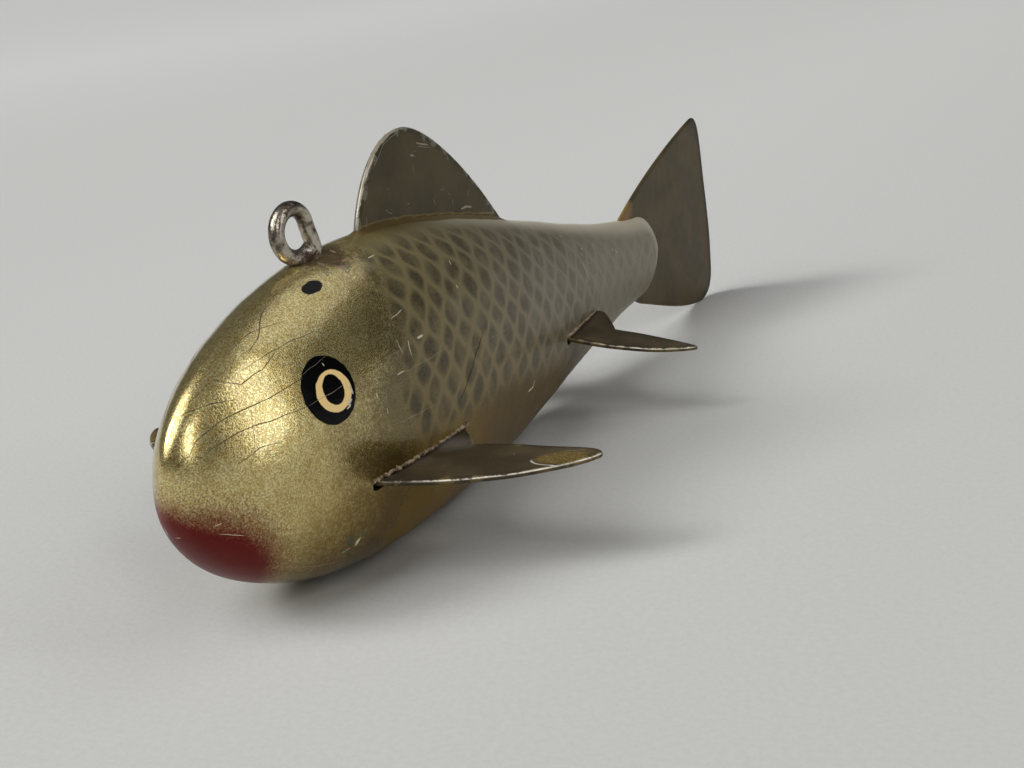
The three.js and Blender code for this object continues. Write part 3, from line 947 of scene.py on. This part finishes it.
def addStrokes(name, runs, ground, slotName):
    points = []
    faces = []
    for seed, (run, halfWidth) in enumerate(runs):
        spots, its = strokeMesh(run, halfWidth, seed + 20, ground)
        faces += [tuple(i + len(points) for i in face) for face in its]
        points += [tuple(p) for p in spots]
    return addPiece(name, points, faces, slotName, sharp=80)


hiddenMarks = {                          # count, side, from x, to x, lengths and seed, then half the width
    "pale_chips_and_eye_glint": [((16, 1, 30, 120, (0.5, 1.6), 3), 0.07), ((8, -1, 75, 135, (0.4, 1.2), 5), 0.06)],
    "hair_scratches": [((8, 1, 20, 110, (4, 14), 8), 0.026)],
    "paint_cracks": [((10, 1, 3, 30, (5, 14), 11), 0.04)],
}


def addMarks(name, marks, ground=skin, slotName="painted_wood"):
    runs = [(shownRun(pixels, ground), width) for pixels, width in marks.values()]
    for where, width in hiddenMarks.get(name, ()):
        runs += [(run, width) for run in hiddenRuns(*where)]
    return addStrokes(name, runs, ground, slotName)


markPieces = [
    # pale chips of the paint, and one painted highlight on the eye
    addMarks("pale_chips_and_eye_glint", paleMarks),
    addMarks("hair_scratches", fineMarks),
    addMarks("paint_cracks", darkCracks),
    addMarks("green_chips", greenMarks),
    addMarks("eye_foot_chips", footMarks),
    addMarks("dorsal_peel", sheetMarks, skinTree(dorsalPiece), "upright_fins"),
]
print("paint scratched")


# Finishes

paint = {
    "gold": tone(228, 208, 132), "goldBright": tone(252, 246, 196), "goldDull": tone(190, 158, 78),
    # bellyBrownShaded is the belly's brown-gold, darkened with painted shade
    "olive": tone(96, 84, 44), "brownGold": tone(130, 100, 28), "bellyBrownShaded": tone(84, 68, 38),
    "cell": tone(52, 47, 34), "cellGrey": tone(82, 76, 61), "net": tone(130, 119, 84),
    # ridgeSheen is painted sheen: a pale tone laid along the ridge of the back where it catches the light
    "backGrey": tone(126, 120, 103), "ridgeSheen": tone(214, 206, 184), "strip": tone(92, 74, 34),
    "red": tone(94, 4, 5), "black": tone(6, 6, 6), "cream": tone(250, 218, 150),
    "crack": tone(48, 34, 16), "dirt": tone(34, 22, 10), "bare": tone(226, 216, 186),
    "rawWood": tone(40, 28, 18), "rim": tone(170, 154, 134), "patch": tone(120, 96, 72),
    "crumbled": tone(164, 132, 106), "olderGreen": tone(52, 76, 50), "peeled": tone(142, 136, 116),
}


def surfaceFrame(spot):                  # a place on the skin and the two directions along it
    centre, normal = skin.find_nearest(spot)[:2]
    along = (Vector((1, 0, 0)) - normal * normal.x).normalized()
    up = normal.cross(along)
    up = up if up.z > 0 else -up
    return fishPoint(centre), tuple(along), tuple(up)


def ellipse(f, at, pixel, shift, size, power=2.0):       # 1 at the rim of a painted ellipse, less inside
    centre, along, up = surfaceFrame(skinAt(pixel, skin))
    gap = f.vector("SUBTRACT", at, centre)
    u = (f.vector("DOT_PRODUCT", gap, along) - shift[0]) / size[0]
    v = (f.vector("DOT_PRODUCT", gap, up) - shift[1]) / size[1]
    return (abs(u) ** power + abs(v) ** power) ** (1 / power)


grainsOfGold = {                         # scale, detail and roughness of each noise, edges of its mask
    "broad": (0.09, 3.0), "patchy": (0.35, 3.0), "flake": (4.6, 2.0, 0.6), "clump": (1.7, 3.0, 0.65),
    "shineEdge": (0.36, 0.62), "clumpEdge": (0.42, 0.6),
}
goldLook = {
    "clouds": (0.35, 0.7, 0.7), "flakeShare": 0.85, "clumpShare": 0.4,
    "olive": (23.5, 35), "oliveDrift": (16, 3), "oliveLevel": (22, 28, 1.1), "oliveShare": 0.85,
    "brownFrom": (0, 20), "brownBelow": (7, 24), "brownDrift": (12, 3), "brownShare": (0.55, 0.35),
}


def goldGround(f, broad, patchy, shine, clump):          # gold, duller and browner in clouds
    look = goldLook
    low, high, share = look["clouds"]
    gold = f.mix(patchy.rise(low, high) * share, paint["gold"], paint["goldDull"])
    dark, light = (f.mix(0.5, gold, paint[key]) for key in ("crack", "goldBright"))
    gold = f.mix(shine * look["flakeShare"], dark, light)
    gold = f.mix(clump * look["clumpShare"], gold, paint["goldDull"])
    drift, ragged = look["oliveDrift"]
    lowest, level, slant = look["oliveLevel"]
    rearwards = f.x + broad.about(drift) + clump.about(ragged) - (f.z.most(lowest) - level) * slant
    oliveTone = f.mix(shine, f.mix(0.5, paint["olive"], paint["crack"]), paint["olive"])
    gold = f.mix(rearwards.rise(*look["olive"]) * look["oliveShare"], gold, oliveTone)
    drift, ragged = look["brownDrift"]
    brown = (f.x + broad.about(drift)).rise(*look["brownFrom"])
    brown = brown * (f.z + clump.about(ragged)).fall(*look["brownBelow"])
    least, more = look["brownShare"]
    return f.mix(brown * (least + clump * more), gold, paint["brownGold"]), brown


scales = {                               # rows are counted down the skin, columns along the fish
    "columnStart": 54.06, "columnStep": 5.4, "columnBow": 0.0156, "columnSqueeze": 0.29 / 9,
    "rowStart": 0.73, "rowStep": 3.33, "rowTilt": 0.083, "rowBow": 0.264, "extraRow": (7.6, 30.2),
    "middle": (60, 16), "bowEnd": 104, "bowUnit": 10, "shakeSize": 0.16, "shake": 2.4,
    "ragged": 0.16, "power": 0.38, "edge": (0.05, 0.78),
    "rearward": (44, 92), "brownNet": (14, 30, 0.35), "patches": (0.3, 0.62, 0.55, 0.45),
    "paler": (88, 124, 0.6), "ridgeClear": (1.0, 6.5), "depth": 0.9, "glint": 0.26,
    # the ridge entries place a band of painted sheen along the ridge of the back
    "pits": (0.3, 0.48, 0.3), "ridgeSheenTurn": (52, 76), "ridge": (0.5, 4.5, 0.8),
}


def netting(f, down, flake):             # 0 on the strands of the net, 1 inside its meshes
    p = scales
    shakeX, shakeDown = f.parts(f.grain(p["shakeSize"], colour=True))[:2]
    x = f.x + shakeX.about(p["shake"])
    down = down + shakeDown.about(p["shake"])
    middleX, middleDown = p["middle"]
    bowed = (x.least(p["bowEnd"]) - middleX) / p["bowUnit"]
    below = down - middleDown
    column = (x - p["columnStart"] + below * below * p["columnBow"]) / p["columnStep"]
    column = column - bowed * bowed * p["columnSqueeze"]
    row = down + (x - middleX) * p["rowTilt"] + bowed * bowed * p["rowBow"]
    count = (row - middleDown) / (2 * p["rowStep"]) + p["rowStart"] / 2
    turns = (count + column + row.rise(*p["extraRow"]), count - column)
    first, second = ((turn * (2 * math.pi)).math("COSINE") * 0.5 + 0.5 for turn in turns)
    inside = (first * second + flake.about(p["ragged"])).most(0.0) ** p["power"]
    return inside.rise(*p["edge"])


def scaleGround(f, down, patchy, flake, shine):          # dark spray through netting laid on the fish
    p = scales
    rearward = f.x.rise(*p["rearward"])
    cellTone = f.mix(rearward, paint["cell"], paint["cellGrey"])
    netTone = f.mix(rearward, paint["net"], paint["backGrey"])
    low, high, share = p["brownNet"]
    netTone = f.mix(down.rise(low, high) * share, netTone, paint["brownGold"])
    low, high, share, least = p["patches"]
    near, far, loss = p["paler"]
    fade = (patchy.rise(low, high) * share + least) * (1 - f.x.rise(near, far) * loss)
    fade = fade * down.rise(*p["ridgeClear"])
    colour = f.mix(netting(f, down, flake) * fade * p["depth"], netTone, cellTone)
    colour = f.mix(shine * p["glint"], colour, paint["net"])
    low, high, share = p["pits"]
    colour = f.mix(flake.fall(low, high) * share, colour, paint["crack"])
    # painted sheen along the ridge of the back: olive at the front, pale towards the rear
    ridgeToneAndSheen = f.mix(f.x.rise(*p["ridgeSheenTurn"]), paint["olive"], paint["ridgeSheen"])
    low, high, share = p["ridge"]
    return f.mix(down.fall(low, high) * share, colour, ridgeToneAndSheen)


drawing = {                              # the eye, the dot above it and the mouth, the same on both sides
    "eyeAt": (329.5, 389.5), "eyeRadius": 4.27, "eyeEdge": (0.985, 1.005),
    "ringShift": (0.62, -0.38), "ringSize": (2.9, 2.56), "ringEdge": (0.975, 1.01),
    "pupilShift": (0.62, -0.22), "pupil": (1.7, 1.93), "pupilEdge": (0.96, 1.02),
    "dotAt": (312, 287), "dotSize": (1.78, 0.93), "dotEdge": (0.94, 1.04), "shake": 0.15, "shakeSize": 0.9,
    "mouthAt": (4.6, 2.2, 9.9), "mouthReach": (7.9, 12.9), "mouthRagged": 3, "mouthShare": 0.99,
}


def paintedHead(f, colour, patchy, flake):
    p = drawing
    mouth = f.vector("DISTANCE", f.at, p["mouthAt"]) + patchy.about(p["mouthRagged"])
    mouth = (mouth + flake.about(p["mouthRagged"])).fall(*p["mouthReach"])
    colour = f.mix(mouth * p["mouthShare"], colour, paint["red"])
    at = f.shaken(f.mirrored(), p["shake"], p["shakeSize"])
    disc = ellipse(f, at, p["eyeAt"], (0, 0), (p["eyeRadius"],) * 2).fall(*p["eyeEdge"])
    ring = ellipse(f, at, p["eyeAt"], p["ringShift"], p["ringSize"]).fall(*p["ringEdge"])
    pupil = ellipse(f, at, p["eyeAt"], p["pupilShift"], p["pupil"]).fall(*p["pupilEdge"])
    dot = ellipse(f, at, p["dotAt"], (0, 0), p["dotSize"]).fall(*p["dotEdge"])
    blacks = disc.most(dot)
    for mask, key in ((blacks, "black"), (ring, "cream"), (pupil, "black")):
        colour = f.mix(mask, colour, paint[key])
    return colour, mouth, blacks.most(ring)


bodyLook = {
    "scalesFrom": (31.5, 38.5), "scalesDrift": (8, 6), "scalesSlant": (25, -0.3),
    "bellyEdge": (13, 18), "bellyLift": (52, 112, 7), "bellyDrift": 4,
    "bellyTurn": (40, 62), "bellyGlint": 0.35,
    "foot": (34.4, 0, 40.2), "footDrift": (5, 2), "footReach": (3.4, 5.2),
    "footShare": 0.8, "footEdge": (0.4, 0.6),
    "stripAlong": (44.4, 45.2, 86.5, 88), "stripDrift": 0.5, "stripBeside": (1.0, 1.4),
    "stripAbove": (30, 32), "stripShare": 0.85,
    "endGrain": (145.8, 148.4), "endShare": 0.7, "cut": (0.12, 0.4),
    "metal": (0.7, 0.15), "heights": {"grain": 0.0065, "waves": 0.06, "chips": 0.35},
    "rough": {
        "base": 0.2, "drift": 0.1, "cut": 0.5, "patch": 0.2, "scales": 0.2, "mouth": 0.15, "drawn": 0.15,
    },
    "coat": 0.7, "coatLoss": {"drawn": 0.92, "scales": 0.52, "brown": 0.55},
    "fixed": {"Coat_Roughness": 0.08, "Coat_IOR": 1.5, "Specular_IOR_Level": 0.12},
}


def bodyFinish():
    f = Finish("gold_lacquer")
    p, g = bodyLook, grainsOfGold
    down, below = f.attribute("down"), f.attribute("below")
    broad, patchy, flake, clump = (f.grain(*g[key]) for key in ("broad", "patchy", "flake", "clump"))
    shine, clump = flake.rise(*g["shineEdge"]), clump.rise(*g["clumpEdge"])
    gold, brown = goldGround(f, broad, patchy, shine, clump)

    # Where the scales begin and end
    drift, ragged = p["scalesDrift"]
    level, slant = p["scalesSlant"]
    start = f.x + patchy.about(drift) + (f.z - level) * slant + flake.about(ragged)
    start = start.rise(*p["scalesFrom"])
    near, far, lift = p["bellyLift"]
    belly = f.z + f.x.rise(near, far) * lift + patchy.about(p["bellyDrift"]) + flake.about(p["bellyDrift"])
    # below the scales the gold turns rearwards to the belly's brown-gold, darkened with painted shade
    lower = f.mix(f.x.rise(*p["bellyTurn"]), gold, paint["bellyBrownShaded"])
    lower = f.mix(shine * p["bellyGlint"], lower, paint["brownGold"])
    upper = scaleGround(f, down, patchy, flake, shine)
    colour = f.mix(start, gold, f.mix(belly.rise(*p["bellyEdge"]), lower, upper))
    colour, mouth, drawn = paintedHead(f, colour, patchy, flake)

    # Chipped paint round the screw eye, the dorsal's foot, the end grain's rim and raw wood in the cuts
    drift, ragged = p["footDrift"]
    foot = f.vector("DISTANCE", f.at, p["foot"]) + patchy.about(drift) + flake.about(ragged)
    patch = foot.fall(*p["footReach"])
    chipped = f.mix(flake.rise(*p["footEdge"]), paint["patch"], paint["crack"])
    colour = f.mix(patch * p["footShare"], colour, chipped)
    along, beside = p["stripAlong"], abs(f.y) + patchy.about(p["stripDrift"])
    strip = f.x.rise(*along[:2]) * f.x.fall(*along[2:]) * beside.fall(*p["stripBeside"])
    strip = strip * f.z.rise(*p["stripAbove"])
    colour = f.mix(strip * p["stripShare"], colour, paint["strip"])
    colour = f.mix(f.x.rise(*p["endGrain"]) * p["endShare"], colour, paint["rim"])
    cut = below.rise(*p["cut"])
    colour = f.mix(cut, colour, paint["rawWood"])

    loss, more, up = p["coatLoss"], p["rough"], p["heights"]
    share, least = p["metal"]
    metal = (1 - start) * (1 - mouth) * share + least
    metal = metal * (1 - drawn) * (1 - cut)
    rough = more["base"] + patchy.about(more["drift"]) + cut * more["cut"] + patch * more["patch"]
    rough = rough + start * more["scales"] + mouth * more["mouth"] - drawn * more["drawn"]
    height = shine * up["grain"] + patchy * up["waves"] + patch * flake * up["chips"]
    coat = (1 - mouth.most(drawn) * loss["drawn"]) * (1 - cut) * (p["coat"] - start * loss["scales"])
    coat = coat * (1 - brown * loss["brown"])
    return f.surface(colour, metal, rough, height, Coat_Weight=coat, **p["fixed"])


sheetPaint = {                           # tones, then reaches in millimetres from the rim or from the wood
    "upright": {
        "paint": tone(66, 57, 37), "paintLight": tone(80, 69, 44), "metal": tone(186, 178, 162),
        "peel": tone(150, 148, 132), "root": tone(84, 67, 30), "rootRim": tone(128, 112, 72),
        "edge": tone(44, 42, 29), "metallic": 0.1, "bareReach": (0.1, 0.3), "peelReach": (0.2, 0.6),
        "rootReach": (0.3, 0.5), "lineAbove": (-0.1, 0.2), "lineBelow": (0.9, 1.4), "rootDull": 0.0,
    },
    "side": {
        "paint": tone(70, 61, 45), "paintLight": tone(100, 88, 66), "metal": tone(215, 210, 196),
        # on the side fins the dark root tones are painted shade, a dark band along the slot's lip
        "peel": tone(150, 126, 70), "root": tone(52, 40, 32), "rootRim": tone(70, 56, 44),
        "edge": tone(62, 54, 40), "metallic": 0.35, "bareReach": (0.05, 0.2), "peelReach": (0.1, 0.3),
        "rootReach": (0.5, 0.9), "lineAbove": (0.25, 0.4), "lineBelow": (0.66, 0.86), "rootDull": 0.75,
    },
}
tailPaint = {
    "far": (126, 140), "share": 0.75, "dark": tone(84, 68, 40), "light": tone(66, 58, 35),
    "giltAt": (135, 0, 26.4), "gilt": tone(150, 118, 62), "giltReach": (2.5, 5.5), "giltOuter": (4, 6),
    "giltShare": 0.6, "giltDrift": 5, "trailing": tone(32, 29, 18), "trailingReach": (0.5, 2.4),
    "trailingFrom": (170, 177), "trailingShare": 0.85, "clouds": (0.4, 0.6),
}
gilding = {                              # the worn gold oval near the tip of a pectoral fin, and its painted sheens near the root
    "centre": (562, 457.5), "right": (592, 456), "top": (564, 450.5),
    "sheen": (455, 443), "sheenLow": (424, 461),
    "sheenTone": tone(150, 146, 146), "sheenReach": (0.3, 4.0), "sheenShare": 0.45,
    "lowTone": tone(132, 116, 112), "lowReach": (0.4, 2.2), "lowShare": 0.35,
    "dark": tone(84, 68, 28), "light": tone(160, 136, 78), "ovalEdge": (0.75, 1.0), "ovalShare": 0.8,
    "lineEdge": (0.97, 1.0, 1.04, 1.09), "lineBelow": (-0.3, 0.0), "lineShare": 0.9,
    "drift": (0.5, 0.3), "sheenDrift": 3, "lineDrift": 0.1, "acrossDrift": 0.5, "goldEdge": (0.3, 0.7),
    "underside": (0, 0.3, 9),
}
sheetLook = {                            # noises, edges of masks and shares for all the sheet metal
    "broad": (0.12, 3.0), "patchy": (0.5, 4.0, 0.6), "fine": (3.0, 3.0, 0.65),
    "light": (0.35, 0.68), "speckle": (0.4, 0.7, 0.35), "rootDrift": 0.5, "rootShare": 0.85,
    "rootRim": (0.1, 0.6), "rimDark": (0.5, 1.1, 0.6), "forward": (100, 120), "peelDrift": 5,
    "peelPatches": (0.42, 0.5), "peelShare": 0.4, "bareDrift": (0.4, 0.7), "nearWood": (3, 9),
    "net": (0.13, 0.4, 0.19), "netShake": (1.0, 0.2), "netWidth": 0.012, "netShare": 0.3,
    "netPlaces": (0.25, 2.0), "netShift": (9, 40, 5), "netEdge": (0.6, 0.64), "bareMetal": 0.85,
    "rough": (0.48, 0.2, 0.1, 0.1), "heights": (0.05, 0.015, 0.03),
    "fixed": {"Coat_Weight": 0.08, "Coat_Roughness": 0.3, "Specular_IOR_Level": 0.16},
}


def gildedTip(f, lift):                  # 1 at the oval's rim, how far across it, distances to the painted sheens
    spots = {key: fishPoint(skinAt(gilding[key], pectoralSkin)) for key in ("centre", "right", "top")}
    centre, right, top = (np.array([spot[0], abs(spot[1])]) for spot in spots.values())
    a, b = right - centre, top - centre
    turn = a[0] * b[1] - a[1] * b[0]
    x, y = f.x - centre[0], abs(f.y) - centre[1]
    u = (x * b[1] - y * b[0]) / turn
    v = (y * a[0] - x * a[1]) / turn
    sheens = [fishPoint(skinAt(gilding[key], pectoralSkin)) for key in ("sheen", "sheenLow")]
    sheens = [f.vector("DISTANCE", f.mirrored(), spot) for spot in sheens]
    low, high, clear = gilding["underside"]
    return (u * u + v * v) ** 0.5 + lift.fall(low, high) * clear, v, sheens


def gildSide(f, colour, metal, lift, patchy, fine):
    p = gilding
    oval, across, (sheen, low) = gildedTip(f, lift)
    wide, narrow = p["drift"]
    uneven = patchy.about(wide) + fine.about(narrow)
    # painted sheens: a whitish and a purple-grey reflection painted onto the fin near its root
    for gap, key in ((sheen, "sheen"), (low, "low")):
        shown = (gap + uneven * p["sheenDrift"]).fall(*p[key + "Reach"])
        colour = f.mix(shown * p[key + "Share"], colour, p[key + "Tone"])
    gold = f.mix(fine.rise(*p["goldEdge"]), p["dark"], p["light"])
    colour = f.mix((oval + uneven).fall(*p["ovalEdge"]) * p["ovalShare"], colour, gold)
    edge, drift = p["lineEdge"], p["lineDrift"]
    line = (oval + uneven * drift).rise(*edge[:2]) * (oval + uneven * drift).fall(*edge[2:])
    line = line * (across + uneven * p["acrossDrift"]).fall(*p["lineBelow"])
    return f.mix(line * p["lineShare"], colour, metal)


def paintTail(f, colour, edge, broad, patchy, fine):
    p = tailPaint
    far = f.x.rise(*p["far"])
    colour = f.mix(far * p["share"], colour, f.mix(broad.rise(*p["clouds"]), p["dark"], p["light"]))
    gilt = f.vector("DISTANCE", f.at, p["giltAt"]) + patchy.about(p["giltDrift"])
    gilded = gilt.fall(*p["giltReach"]) * far.most(gilt.fall(*p["giltOuter"]))
    colour = f.mix(gilded * p["giltShare"], colour, p["gilt"])
    trailing = (edge + (fine - 0.5)).fall(*p["trailingReach"]) * f.x.rise(*p["trailingFrom"])
    return f.mix(trailing * p["trailingShare"], colour, p["trailing"])


def finFinish(kind):
    f = Finish("fin_" + kind)
    p, g = sheetPaint[kind], sheetLook
    edge, out, lift = f.attribute("edge"), f.attribute("out"), f.attribute("lift")
    broad, patchy, fine = (f.grain(*g[key]) for key in ("broad", "patchy", "fine"))
    colour = f.mix(broad.rise(*g["light"]), p["paint"], p["paintLight"])
    low, high, share = g["speckle"]
    colour = f.mix(fine.rise(low, high) * share, colour, p["paintLight"])
    # root tones: a gold-brown strip of paint on the upright fins; on the side fins a band of painted shade
    # along the slot's lip
    low, high = p["rootReach"]
    width, share = g["rootRim"]
    ragged = out + patchy.about(g["rootDrift"])
    root = ragged.fall(low, high)
    colour = f.mix(root * g["rootShare"], colour, p["root"])
    colour = f.mix(root * ragged.rise(low - width, low) * share, colour, p["rootRim"])
    low, high, share = g["rimDark"]
    colour = f.mix(edge.fall(low, high) * share, colour, p["edge"])
    colour = paintTail(f, colour, edge, broad, patchy, fine)
    if kind == "side":
        colour = gildSide(f, colour, p["metal"], lift, patchy, fine)

    # Peeled and bare metal along the rims, but not on the tail
    forward = f.x.fall(*g["forward"])
    peeled = (edge + patchy.about(g["peelDrift"])).fall(*p["peelReach"])
    peeled = peeled * broad.rise(*g["peelPatches"]) * forward
    colour = f.mix(peeled * g["peelShare"], colour, p["peel"])
    narrow, wide = g["bareDrift"]
    bare = (edge + fine.about(narrow) + patchy.about(wide)).fall(*p["bareReach"])
    bare = bare * lift.rise(*p["lineAbove"])
    bare = bare * forward * lift.fall(*p["lineBelow"]) * (1 - out.fall(*g["nearWood"]) * p["rootDull"])
    net = f.edges(f.vector("MULTIPLY", f.shaken(f.at, *g["netShake"]), g["net"]), g["netWidth"])
    places = f.grain(*g["netPlaces"], at=f.vector("ADD", f.at, g["netShift"]))
    bare = bare.most(net * places.rise(*g["netEdge"]) * forward * g["netShare"])
    colour = f.mix(bare, colour, p["metal"])
    metal = bare * (g["bareMetal"] - p["metallic"]) + p["metallic"]
    base, drift, atRoot, atBare = g["rough"]
    rough = base + patchy.about(drift) + root * atRoot - bare * atBare
    waves, grains, loss = g["heights"]
    height = patchy * waves + fine * grains - peeled * loss - bare * loss
    return f.surface(colour, metal, rough, height, **g["fixed"])


wireLook = {
    "steel": tone(186, 177, 162), "tarnish": tone(66, 56, 45), "rust": tone(70, 46, 28),
    "patchy": (0.55, 4.0, 0.6), "fine": (4.0, 3.0, 0.6), "dull": (0.38, 0.64),
    "rustFrom": (0.6, 0.4, 0.16), "foot": (38.5, 43), "rustEdge": (0.55, 0.66), "rustShare": 0.85,
    "rough": (0.16, 0.15, 0.35), "heights": (0.03, 0.05, 0.04), "metal": (0.95, 0.6), "sheen": 0.5,
}


def wireFinish():
    f = Finish("old_wire")
    p = wireLook
    patchy, fine = f.grain(*p["patchy"]), f.grain(*p["fine"])
    colour = f.mix(patchy.rise(*p["dull"]), p["steel"], p["tarnish"])
    wide, narrow, atFoot = p["rustFrom"]
    rust = (patchy * wide + fine * narrow + f.z.fall(*p["foot"]) * atFoot).rise(*p["rustEdge"])
    colour = f.mix(rust * p["rustShare"], colour, p["rust"])
    base, drift, rusted = p["rough"]
    rough = base + patchy * drift + rust * rusted
    grains, waves, scabs = p["heights"]
    height = fine * grains + patchy * waves + rust * scabs
    metal, loss = p["metal"]
    return f.surface(colour, metal - rust * loss, rough, height, Specular_IOR_Level=p["sheen"])


putty = {
    "light": tone(172, 154, 124), "dark": tone(104, 82, 52), "dust": tone(205, 194, 172),
    "patchy": (0.8, 3.0), "fine": (3.5, 3.0, 0.6), "patches": (0.42, 0.6), "dusty": (0.55, 0.7, 0.8),
    "rough": 0.6, "height": 0.06, "sheen": 0.4,
}


def puttyFinish():
    f = Finish("old_putty")
    p = putty
    patchy, fine = f.grain(*p["patchy"]), f.grain(*p["fine"])
    colour = f.mix(patchy.rise(*p["patches"]), p["light"], p["dark"])
    low, high, share = p["dusty"]
    colour = f.mix(fine.rise(low, high) * share, colour, p["dust"])
    return f.surface(colour, 0.0, p["rough"], fine * p["height"], Specular_IOR_Level=p["sheen"])


markLooks = {                            # name of the finish, its tone, how metallic and how rough
    "pale_chips_and_eye_glint": ("pale_ground_and_eye_glint", "bare", 0.0, 0.4),
    "hair_scratches": ("scratched_paint", "rim", 0.2, 0.4),
    "paint_cracks": ("crack_dirt", "dirt", 0.0, 0.7),
    "eye_foot_chips": ("crumbled_paint", "crumbled", 0.0, 0.6),
    "green_chips": ("older_green", "olderGreen", 0.0, 0.5),
    "dorsal_peel": ("peeled_paint", "peeled", 0.0, 0.5),
}
markGrain = {"fine": (3.5, 2.0, 0.6), "shade": (0.35, 0.65, 0.35), "height": 0.02}


def markFinish(name, key, metal, rough):
    f = Finish(name)
    fine = f.grain(*markGrain["fine"])
    low, high, share = markGrain["shade"]
    shade = f.mix(fine.rise(low, high) * share, paint[key], paint["patch"])
    return f.surface(shade, metal, rough, fine * markGrain["height"])


paper = {                                # pale paper, with painted light: a little lighter towards the far left, where the light is stronger
    "right": tone(200, 200, 197), "left": tone(232, 232, 229), "fibre": tone(160, 160, 157),
    "near": (-150, 120, 0.35), "far": (200, 1300, 0.65), "fine": (1.1, 3.0, 0.6), "fibres": (0.3, 0.7, 0.1),
    "rough": 0.85, "height": 0.05, "sheen": 0.2,
}


def floorFinish():
    f = Finish("pale_paper")
    p = paper
    fine = f.grain(*p["fine"])
    # painted light: the paper is lighter towards the far left
    near, far = (f.y.rise(low, high) * share for low, high, share in (p["near"], p["far"]))
    colour = f.mix(near + far, p["right"], p["left"])
    low, high, share = p["fibres"]
    colour = f.mix(fine.rise(low, high) * share, colour, p["fibre"])
    return f.surface(colour, 0.0, p["rough"], fine * p["height"], Specular_IOR_Level=p["sheen"])


def dress(pieces, material):
    for piece in pieces:
        piece.data.materials.clear()
        piece.data.materials.append(material)


dress([body], bodyFinish())
dress([dorsalPiece, tailPiece], finFinish("upright"))
dress(sidePieces, finFinish("side"))
dress([eyePiece], wireFinish())
dress(puttyPieces, puttyFinish())
for piece in markPieces:
    dress([piece], markFinish(*markLooks[piece.name]))
print("finishes mixed")


# Floor and light

studio = {
    "floor": (1.5, 30.0, 0.004), "horizon": (0.02, 0.34, 0.08, 0.056), "worldTone": (0.97, 0.98, 1.0, 1.0),
    "suns": {                            # azimuth, height, width of the soft disc in degrees, strength
        "sky_left": (150, 50, 50, 1.72), "sky_side": (130, 42, 20, 0.9), "sky_front": (-104, 42, 84, 0.07),
        "sky_top": (-60, 78, 64, 0.05),
    },
    "windows": {                         # azimuth and height in degrees, distance, size, power
        "window_left": (-127, 34, 2.4, (0.44, 1.4), 7.4), "window_right": (-78, 28, 2.8, (0.62, 2.5), 12.8),
        "window_back": (-34, 50, 2.4, (1.5, 1.5), 4.4),
    },
    "lookAt": (-0.06, 0, 0.025),
}


def addFloor():                          # flat round the fish, rising a little far away
    flat, reach, rise = studio["floor"]
    radii = flat * (reach / flat) ** np.linspace(0, 1, 14)
    points = [(0, 0, 0)]
    faces = []
    sides = 48
    for r, radius in enumerate(radii):
        for k in range(sides):
            angle = 2 * math.pi * k / sides
            height = rise * (radius - flat) ** 2
            points.append((radius * math.cos(angle), radius * math.sin(angle), height))
            a, b = 1 + r * sides + k, 1 + r * sides + (k + 1) % sides
            faces.append((0, a, b) if r == 0 else (a - sides, a, b, b - sides))
    mesh = bpy.data.meshes.new("floor")
    mesh.from_pydata(points, [], faces)
    mesh.shade_smooth()
    floor = bpy.data.objects.new("floor", mesh)
    bpy.context.scene.collection.objects.link(floor)
    mesh.materials.append(floorFinish())


def towards(azimuth, height):            # a direction given in degrees
    turn, up = math.radians(azimuth), math.radians(height)
    return Vector((math.cos(turn) * math.cos(up), math.sin(turn) * math.cos(up), math.sin(up)))


def addLight(name, kind, way, distance, strength):
    data = bpy.data.lights.new(name, kind)
    data.energy = strength
    light = bpy.data.objects.new(name, data)
    light.location = Vector(studio["lookAt"]) + way * distance
    light.rotation_euler = way.to_track_quat("Z", "Y").to_euler()
    bpy.context.scene.collection.objects.link(light)
    return data


addFloor()
for name, (azimuth, height, spread, strength) in studio["suns"].items():
    addLight(name, "SUN", towards(azimuth, height), 2, strength).angle = math.radians(spread)
for name, (azimuth, height, distance, size, strength) in studio["windows"].items():
    window = addLight(name, "AREA", towards(azimuth, height), distance, strength)
    window.shape = "RECTANGLE"
    window.size, window.size_y = size


def addWorld():                          # dim above, brighter towards the horizon
    world = bpy.data.worlds.new("studio")
    world.use_nodes = True
    nodes, links = world.node_tree.nodes, world.node_tree.links
    way = nodes.new("ShaderNodeTexCoord")
    split = nodes.new("ShaderNodeSeparateXYZ")
    level = nodes.new("ShaderNodeMapRange")
    links.new(way.outputs["Generated"], split.inputs[0])
    links.new(split.outputs[2], level.inputs[0])
    level.interpolation_type = "SMOOTHSTEP"
    for key, value in zip((1, 2, 3, 4), studio["horizon"]):
        level.inputs[key].default_value = value
    sky = nodes["Background"]
    sky.inputs[0].default_value = studio["worldTone"]
    links.new(level.outputs[0], sky.inputs[1])
    bpy.context.scene.world = world


addWorld()
bpy.context.scene.view_settings.view_transform = "Standard"
print("lights set")
